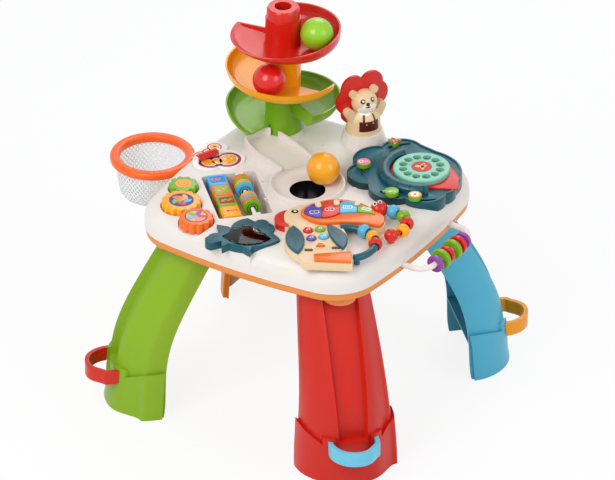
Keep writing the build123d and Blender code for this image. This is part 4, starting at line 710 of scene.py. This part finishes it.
petals = Inlay(
    "gear_yellow_sticker", "gear_yellow", gear_top("yellow"), INDIGO, ORANGE, YELLOW, GREEN, RED, SKY
)
petals.oval(0, 0, 18.5, colour=0)
for index, colour in enumerate((1, 3, 4, 5, 2)):
    bearing = math.radians(72 * index + 160)
    outer_x, outer_y = 10 * math.cos(bearing), 10 * math.sin(bearing)
    petals.oval(outer_x, outer_y, 7.8, 3.6, 72 * index + 215, high=0.35, colour=colour)
    inner_x, inner_y = 5 * math.cos(bearing + 0.5), 5 * math.sin(bearing + 0.5)
    petals.oval(inner_x, inner_y, 4.2, 1.6, 72 * index + 260, high=0.45, colour=colour)
petals.oval(0, 0, 3.4, high=0.55, colour=2)
petals.oval(0, 0, 1.8, high=0.65, colour=1)
petals.done()
petals = Inlay(
    "gear_orange_sticker", "gear_orange", gear_top("orange"), INDIGO, YELLOW, PURPLE, GREEN, SKY, PINK, RED
)
petals.oval(0, 0, 17.0, colour=0)
petals.oval(0, 0, 15.4, high=0.32, colour=1)
for index, colour in enumerate((2, 3, 4, 5, 6)):
    bearing = math.radians(72 * index + 100)
    petals.oval(9 * math.cos(bearing), 9 * math.sin(bearing), 7.4, 4.0, 72 * index + 100, high=0.42, colour=colour)
petals.done()
petals = Inlay("gear_green_sticker", "gear_green", gear_top("green"), YELLOW, ORANGE, YELLOW)
for radius, colour in ((12.0, 0), (8.2, 1), (6.6, 2), (3.4, 1), (2.2, 2)):
    petals.oval(0, 0, radius, high=0.25 + (12 - radius) * 0.03, colour=colour)
petals.done()
print("stickers on the gears")


# %% Labels on the picture blocks
SLANT = Matrix.Rotation(math.radians(-45), 4, "Z")
BLOCK_AXLE = (-127, 317.5)  # place across the tray, and height
DISC_ROD = (-91, 322)
BLOCK_HALF = 14.75


def block_side(place, quarter_turn):
    """Plane on one of the four long sides of a block that turns on its axle."""
    across, high = BLOCK_AXLE
    middle = Matrix.Translation((SLANT @ Vector((place, across, 0)) + Vector((0, 0, high))) * MM)
    roll = Matrix.Rotation(math.radians(90 * quarter_turn), 4, "X")
    face = middle @ SLANT @ roll @ Matrix.Translation((0, 0, BLOCK_HALF * MM))
    return face @ Matrix.Rotation(math.radians(90), 4, "Z") @ Matrix.Scale(MM, 4)


BLOCKS = {  # place along the axle, label, motif, its shapes: x, y, radii, turn
    "blue": (-48.0, PRINT_BLUE, ORANGE, ((-1, 0, 5.4, 2.9, 0), (-7, 0, 2.6, 3.2, 30), (1, 2.6, 2.2, 1.4, 20))),
    "orange": (-17.0, GREEN, YELLOW, ((-4, -1, 3.8, 3.0, 40), (2, 1, 5.0, 2.0, 10), (7, 3, 2.0, 2.0, 0))),
    "green": (
        14.0, CARDINAL, GREEN,
        ((-6, -1, 2.6, 3.2, 0), (-2, 1, 2.8, 2.2, 0), (3, -1, 2.8, 2.2, 0), (7, 2, 2.8, 2.8, 0)),
    ),
    "yellow": (45.0, YELLOW, ORANGE, ((0, 0, 6.4, 1.9, 0), (-5, 0, 2.0, 2.8, 0), (7.6, 0, 1.8, 3.0, 0))),
}
for colour, (place, label, motif, shapes) in BLOCKS.items():
    for quarter_turn in range(4):
        side = block_side(place, quarter_turn)
        card = Inlay(f"block_{colour}_label_{quarter_turn}", f"block_{colour}", side, label, motif, BLACK_AND_PAINTED_SHADE)
        card.bar(0, 0, 22.5, 18.5, soft=2.5, high=0.2, colour=0)
        for x, y, wide, long, turn in shapes:
            card.oval(x, y, wide, long, turn, high=0.32, colour=1, steps=18)
        card.oval(shapes[-1][0] + 0.6, shapes[-1][1] + 0.6, 0.7, high=0.4, colour=2, steps=10)
        card.done()
print("labels on the blocks")

# %% Dark teal and coloured rings on the ends of the discs
DISC_HALF = 3.65
for name, start, colour in (("first", STACK_STARTS[0], SKY), ("second", STACK_STARTS[1], GREEN)):
    across, high = DISC_ROD
    end = Vector((start + 3 * DISC_PITCH + DISC_HALF, across, 0))
    middle = Matrix.Translation((SLANT @ end + Vector((0, 0, high))) * MM)
    face = middle @ SLANT @ Matrix.Rotation(math.radians(90), 4, "Y") @ Matrix.Scale(MM, 4)
    rings = Inlay(f"disc_rings_{name}", "discs", face, DARK_TEAL, colour)
    for radius, shade in ((8.6, 0), (7.4, 1), (5.2, 0)):
        rings.oval(0, 0, radius, high=0.15 + (9 - radius) * 0.04, colour=shade)
    rings.done()
print("rings on the discs")

# %% [markdown]
# ## Toucan: eye, keys, buttons and feet
# The labels ride with their own key or button, so that they go down when it is pressed.
# The lettering of real key labels is left out: each key shows one to four dots instead.


# %% Marks on the toucan
def on_toucan(x, y, z, turn=0.0):
    """Plane at a place of the toucan's own plan."""
    return level(*from_plan(x, y, z, TOUCAN_AT), TURN + turn)


face = Inlay("toucan_marks", "table", on_toucan(0, 0, 343.0), BLACK_AND_PAINTED_SHADE, PEARL, BROWN, DARK_TEAL)
face.oval(-34.8, 69.4, 5.4, 4.6, high=0.5, colour=0)
face.oval(-34.4, 69.6, 2.2, 1.9, high=0.7, colour=1)
for foot_x, foot_y in ((-14.4, -40.5), (25.8, -34.5)):
    for toe in (-4.0, 0, 4.0):
        face.oval(foot_x + toe, foot_y, 2.2, 3.2, high=1.0, colour=2, steps=16)
face.done()
veins = Inlay("wing_veins", "table", on_toucan(0, 0, 347.1), DARK_TEAL)
for x, y, long, turn in (
    (-33, 6, 22, 8), (-37, -4, 8, 50), (-30, -8, 9, -35), (-33.5, -22, 20, -6),
    (24, 4, 20, 38), (31, -12, 18, 12), (21, 12, 7, 80), (33, 0, 8, -10),
):
    veins.bar(x, y, 1.0, long, turn, soft=0.45, high=0.12)
veins.done()
tabs = Inlay("key_tabs", "table", on_toucan(0, 0, 350.3), CREAM)
for x, y, wide, long, turn in (
    (-0.4, 77.0, 8.6, 16.0, 12), (27.2, 82.0, 8.6, 14.0, 2), (57.8, 79.0, 8.4, 10.0, -10),
):
    tabs.bar(x, y, wide, long, turn, soft=4.0, low=0.0, high=1.5)
tabs.done()
KEY_MARKS = {  # place in the plan, turn, colour of the key
    "purple": (-6, 56.4, 8, VIOLET), "red": (16.7, 64.3, 6, RED),
    "blue": (43.4, 70.9, 0, SKY), "green": (71.5, 65.6, -22, GREEN),
}
for count, (colour, (x, y, turn, shade)) in enumerate(KEY_MARKS.items(), 1):
    label = Inlay(f"key_{colour}_label", f"key_{colour}", on_toucan(x, y, 350.0, turn), PEARL, shade)
    label.bar(0, 0, 14.5, 8.6, soft=3.0, high=0.2, colour=0)
    label.bar(0, 0, 12.3, 6.4, soft=2.2, high=0.3, colour=1)
    for dot in range(count):
        label.oval((dot - (count - 1) / 2) * 2.7, 0, 1.0, high=0.45, colour=0, steps=14)
    label.done()
BUTTON_MARKS = {"red": (-15.2, 14.2), "green": (2.5, 17.3), "purple": (-10.3, -8.0), "blue": (7.6, -3.9)}
for colour, (x, y) in BUTTON_MARKS.items():
    note = Inlay(f"button_{colour}_mark", f"button_{colour}", on_toucan(x, y, 346.2), PEARL)
    note.oval(-1.7, -1.6, 1.2, 0.9, 20, steps=14)
    note.oval(1.7, -0.8, 1.2, 0.9, 20, steps=14)
    note.bar(-0.7, 0.6, 0.7, 4.0, soft=0.2)
    note.bar(2.7, 1.2, 0.7, 4.0, soft=0.2)
    note.bar(1.0, 2.8, 4.0, 0.9, 10, soft=0.2)
    note.done()
print("toucan marked")

# %% Eyes of the bead worm
bm = bmesh.new()
for x, y, z, radius in ((83.9, 74.0, 353.2, 3.7), (91.4, 76.6, 354.6, 3.5)):
    spot = on_toucan(x, y, z).to_translation()
    bmesh.ops.create_uvsphere(bm, u_segments=20, v_segments=12, radius=radius * MM, matrix=Matrix.Translation(spot))
whites = len(bm.faces)
for x, y, z, radius in ((83.8, 71.8, 355.3, 1.9), (91.4, 74.4, 356.6, 1.8)):
    spot = on_toucan(x, y, z).to_translation()
    bmesh.ops.create_uvsphere(bm, u_segments=16, v_segments=10, radius=radius * MM, matrix=Matrix.Translation(spot))
bm.faces.ensure_lookup_table()
for face in bm.faces[whites:]:
    face.material_index = 1
keep("worm_eyes", bm, "table", PEARL, BLACK_AND_PAINTED_SHADE)
print("worm has eyes")

# %% [markdown]
# ## Fish window and its beads
# Under the clear window a spoonful of coloured beads rolls about. They are small rounded
# grains with few faces, laid by a seeded generator in a heap on the nearer side.
# %% Window and beads
clear = Paint("clear_window")
clear.set(Base_Color=(0.97, 0.99, 1.0, 1.0), Roughness=clear.noise(60.0) * 0.04 + 0.02)
clear.set(IOR=1.18, Transmission_Weight=1.0)
dressed("fish_window", clear.material, reshape=wider_window)
grains = random.Random(7)
BEAD_R, GRAINS_TRIED = 1.35, 1500
bm = bmesh.new()
beads = 0
for index in range(GRAINS_TRIED):
    along, across = grains.uniform(-27, 33), grains.uniform(-19, 14)
    edge = 1 - ((along - 1.5) / 33) ** 2
    slope = 331.0 - 0.2 * (across + 19)
    high = grains.uniform(325.2, 331)
    sparse = grains.random() > (16 - across) / 26
    if sparse or across < -17.5 * edge or high > slope or across > 28 * edge:
        continue
    spot = from_plan(along, across, high, FISH_AT) * MM
    made = bmesh.ops.create_icosphere(bm, subdivisions=1, radius=BEAD_R * MM, matrix=Matrix.Translation(spot))
    for face in {face for vert in made["verts"] for face in vert.link_faces}:
        face.material_index = index % 6
    beads += 1
keep("fish_beads", bm, "table", PINK, SKY, YELLOW, ORANGE, GREEN, PEARL)
print("beads under the window:", beads)

# %% [markdown]
# ## Dial and fruit sliders
# The dial's hub has a round sticker. Each slider is a slice of fruit: a coloured face on
# a green base, and it rides with its own slider along the slot.
# %% Sticker on the dial
hub = Inlay("dial_sticker", "dial", level(*DIAL_AT, 350.0), CARDINAL, YELLOW, ORANGE, PINK, BLACK_AND_PAINTED_SHADE)
hub.oval(0, 0, 15.5, high=0.3, colour=0)
for x, y, wide, long, turn, colour in (
    (-3, -1, 7.0, 3.2, 30, 1), (3, 2, 6.0, 3.0, 75, 2), (-1, 4, 4.5, 2.2, 110, 1),
    (5, -5, 4.5, 2.2, -30, 1), (-1, 8.5, 1.8, 3.0, 30, 3), (8, -7, 2.6, 1.2, 60, 4),
):
    hub.oval(x, y, wide, long, turn, high=0.45, colour=colour)
hub.done()
print("dial sticker laid")


# %% Faces of the fruit
def slider_top(rest, radius, turn=0.0):
    """Plane on top of a slider's knob."""
    bearing = math.radians(rest)
    x, y = DIAL_AT[0] + radius * math.cos(bearing), DIAL_AT[1] + radius * math.sin(bearing)
    return level(x, y, 349.0, turn)


melon = Inlay("melon_face", "slider_melon", slider_top(148.5, 88.0, 60), CARDINAL, YELLOW, PEARL)
melon.oval(0, 0, 10.6, high=0.3, colour=0, steps=3)
melon.oval(0, 0, 8.4, high=0.1, colour=1, steps=3)
for x, y in ((0, 0), (3, 1.6), (3, -1.6), (-2.6, 2.6), (-2.6, -2.6), (-2.6, 0)):
    melon.oval(x, y, 0.55, 0.9, high=0.5, colour=2, steps=10)
melon.done()
berry = Inlay("berry_face", "slider_berry", slider_top(201.0, 88.0, TURN), PINK, PEARL, PINK)
berry.oval(0, 0, 9.2, high=0.3, colour=0)
berry.oval(-4, 0, 4.0, high=0.4, colour=1)
berry.oval(-4, 0, 2.2, high=0.5, colour=2)
for x, y in ((2, 3), (3.5, 0), (2, -3), (5.5, 2.6), (6, -2)):
    berry.oval(x, y, 0.8, high=0.45, colour=1, steps=10)
berry.done()
pear = Inlay("pear_face", "slider_pear", slider_top(268.0, 81.0, TURN), GREEN, PEARL)
pear.oval(-11.0, 0, 2.8, 1.9, low=-3.0, high=-0.8, colour=0)
pear.oval(-2, -3.5, 3.4, 0.8, 12, high=0.3, colour=1)
pear.oval(4, -3.5, 1.2, 0.7, 0, high=0.3, colour=1)
pear.done()
citrus = Inlay("orange_face", "slider_orange", slider_top(294.0, 79.5, TURN), ORANGE, PEARL, YELLOW, CARDINAL)
citrus.oval(0, 0, 9.2, high=0.25, colour=0)
citrus.oval(0, 0, 7.8, high=0.32, colour=2)
for index in range(8):
    bearing = math.radians(45 * index)
    x, y = 4.8 * math.cos(bearing), 4.8 * math.sin(bearing)
    citrus.oval(x, y, 2.4, 1.5, 45 * index, high=0.42, colour=1, steps=14)
citrus.oval(0, 0, 1.6, high=0.5, colour=3)
citrus.done()
print("fruit faces laid")

# %% [markdown]
# ## Raised ornaments on the table top
# Small leaves stand out of the white top by less than a millimetre, in the same
# plastic. Two ovals side by side read as a pair of leaves, and a bar as their stem.
# %% Emboss the top
raised = Inlay("top_ornaments", "table", level(0, 0, 330.0), WARM_WHITE)
for x, y, turn in ((-65, -25, 20), (-12, -51, 80), (123, -76, 0), (58, 34, 40), (-45, 114, 10), (-30, -66, 130)):
    for side in (-24, 24):
        bearing = math.radians(turn + side)
        raised.oval(x + 3.6 * math.cos(bearing), y + 3.6 * math.sin(bearing), 4.2, 1.5, turn + side, high=0.7)
    stem_x, stem_y = x - 2.6 * math.cos(math.radians(turn)), y - 2.6 * math.sin(math.radians(turn))
    raised.bar(stem_x, stem_y, 4.0, 0.9, turn, soft=0.3, high=0.6)
raised.done()
print("ornaments raised")

# %% [markdown]
# ## The net
# The hoop's net is knotted cord in diamond cells. As thousands of cords it would be far
# too heavy, so it is one thin sheet, spun round the hoop, whose material is faint grey and
# mostly clear between the strands, a painted shade for the dark seen through the cells. The
# strands are two sets of slanting lines in the sheet's own UV map, and the sheet sags a
# little between the points where it is tied.
# %% Spin and sag the net
NET_LINE = (  # distance from the hoop's axis, and height
    (56.2, 295.5), (55.2, 288), (54.2, 278), (53.0, 266), (51.6, 256), (50.0, 249),
    (46.6, 242.5), (38, 238.9), (22, 238.3), (6, 238.1),
)
CELLS, CELL_HIGH = 50, 9.0
NET_TOP, SAG, TIES = 0.2955, 0.0009, 13
hoop_at = Vector((-270, -9, 0)) * MM
bm = bmesh.new()
line = [bm.verts.new(hoop_at + Vector((r, 0, z)) * MM) for r, z in NET_LINE]
threads = [bm.edges.new(pair) for pair in zip(line, line[1:])]
bmesh.ops.spin(bm, geom=line + threads, cent=hoop_at, axis=UP, angle=2 * math.pi, steps=104, use_merge=True)
bmesh.ops.remove_doubles(bm, verts=bm.verts, dist=1e-6)
bmesh.ops.holes_fill(bm, edges=[e for e in bm.edges if e.is_boundary and e.calc_length() < 1 * MM], sides=0)
bmesh.ops.recalc_face_normals(bm, faces=bm.faces)
uv = bm.loops.layers.uv.new("net")
runs = [0.0]
for (r0, z0), (r1, z1) in zip(NET_LINE, NET_LINE[1:]):
    runs.append(runs[-1] + math.dist((r0, z0), (r1, z1)))


def run_at(point):
    """How far down the net a point lies, in millimetres of cord."""
    offset = (point - hoop_at) / MM
    reach, height = math.hypot(offset.x, offset.y), offset.z
    gaps = [abs(r - reach) + abs(z - height) for r, z in NET_LINE]
    return runs[gaps.index(min(gaps))]


for face in bm.faces:
    first = None
    for loop in face.loops:
        offset = loop.vert.co - hoop_at
        turn = math.atan2(offset.y, offset.x) / (2 * math.pi)
        if first is not None and abs(turn - first) > 0.5:
            turn += 1.0 if turn < first else -1.0
        first = turn if first is None else first
        loop[uv].uv = (turn * CELLS, run_at(loop.vert.co) / CELL_HIGH)
for vert in bm.verts:
    offset = vert.co - hoop_at
    turn = math.atan2(offset.y, offset.x)
    depth = max(0.0, min(1.0, (NET_TOP - vert.co.z) / 0.03)) * (1 if vert.co.z > 0.245 else 0.3)
    vert.co -= offset.normalized() * SAG * depth * (1 + math.sin(TIES * turn))

cord = Paint("net_cord")
place = cord.node("ShaderNodeUVMap", {"uv_map": "net"})
across, down = cord.axis(0, place), cord.axis(1, place)
strands = None
for slanted in (across + down, across - down + 100.0):
    part = cord.node("ShaderNodeMath", {"operation": "FRACT"}, {0: slanted})
    away = cord.node("ShaderNodeMath", {"operation": "ABSOLUTE"}, {0: part - 0.5})
    strand = away > 0.335
    strands = strand if strands is None else strand.maths("MAXIMUM", strands, strand)
twist = cord.noise(900.0, 2.0)
white = cord.blend(twist, tone(232, 236, 240), tone(250, 252, 253))
# Between the strands the sheet is faint grey and mostly clear: painted shade for the dark seen through the cells.
strands_on_painted_shade = cord.blend(strands, tone(150, 158, 166), white)
cord.set(Base_Color=strands_on_painted_shade, Roughness=twist * 0.1 + 0.55, Alpha=strands * 0.7 + 0.26)
net = keep("hoop_net_cloth", bm, body_of("hoop_net"), cord.material, sharp=80.0)
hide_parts("hoop_net")
print("net spun,", len(net.data.polygons), "faces")

# %% [markdown]
# ## Floor and light
# A plain white studio: a wide soft lamp from the front left, a weaker one from the
# right, a faint one from above and behind, and a pale world that fills the shadows. The
# floor is white to the camera and still takes the table's shadow.


# %% Light the scene
def seen_ray(tree, path):
    """1 for rays that show the background: camera, glossy and transmission rays."""
    total = None
    for kind in ("Is Camera Ray", "Is Glossy Ray", "Is Transmission Ray"):
        socket = path.outputs[kind]
        if total is None:
            total = socket
            continue
        larger = tree.nodes.new("ShaderNodeMath")
        larger.operation = "MAXIMUM"
        tree.links.new(total, larger.inputs[0])
        tree.links.new(socket, larger.inputs[1])
        total = larger.outputs[0]
    return total


def studio():
    """World, three soft lamps and a white floor."""
    world = bpy.data.worlds.new("studio")
    bpy.context.scene.world = world
    world.use_nodes = True
    tree = world.node_tree
    tree.nodes.clear()
    path = tree.nodes.new("ShaderNodeLightPath")
    seen = tree.nodes.new("ShaderNodeBackground")
    seen.inputs["Color"].default_value = (1, 1, 1, 1)
    fill = tree.nodes.new("ShaderNodeBackground")
    fill.inputs["Color"].default_value = (0.95, 0.97, 1.0, 1)
    fill.inputs["Strength"].default_value = 0.56
    both = tree.nodes.new("ShaderNodeMixShader")
    out = tree.nodes.new("ShaderNodeOutputWorld")
    tree.links.new(seen_ray(tree, path), both.inputs[0])
    tree.links.new(fill.outputs[0], both.inputs[1])
    tree.links.new(seen.outputs[0], both.inputs[2])
    tree.links.new(both.outputs[0], out.inputs[0])
    for name, place, size, power in (
        ("key", -1.3 * RIGHT + 0.8 * UPWARD + 2.3 * AWAY, 1.7, 38),
        ("side", 1.9 * RIGHT + 0.5 * UPWARD + 1.6 * AWAY, 1.5, 14),
        ("back", 0.3 * RIGHT + 1.9 * UPWARD - 0.6 * AWAY, 1.2, 8),
    ):
        lamp = bpy.data.lights.new(name, "AREA")
        lamp.size, lamp.energy = size, power
        lamp.shape = "DISK"
        holder = bpy.data.objects.new(name, lamp)
        holder.location = place + Vector((0, 0, 0.25))
        holder.rotation_euler = place.to_track_quat("Z", "Y").to_euler()
        bpy.context.scene.collection.objects.link(holder)
    bm = bmesh.new()
    bmesh.ops.create_grid(bm, x_segments=1, y_segments=1, size=12)
    mesh = bpy.data.meshes.new("floor")
    bm.to_mesh(mesh)
    bm.free()
    floor = bpy.data.objects.new("floor", mesh)
    bpy.context.scene.collection.objects.link(floor)
    paint = Paint("floor_white")
    paint.set(Base_Color=(0.92, 0.92, 0.92, 1), Roughness=0.9)
    glow = paint.node("ShaderNodeEmission", None, {"Color": (1, 1, 1, 1), "Strength": 1.0})
    ray = Wire(paint, seen_ray(paint.tree, paint.tree.nodes.new("ShaderNodeLightPath")))
    both = {0: ray * 0.86, 1: Wire(paint, paint.shader.outputs[0]), 2: glow}
    mixed = paint.node("ShaderNodeMixShader", None, both)
    paint.tree.links.new(mixed.socket, paint.output.inputs[0])
    mesh.materials.append(paint.material)


studio()
print("world, lamps and floor made")
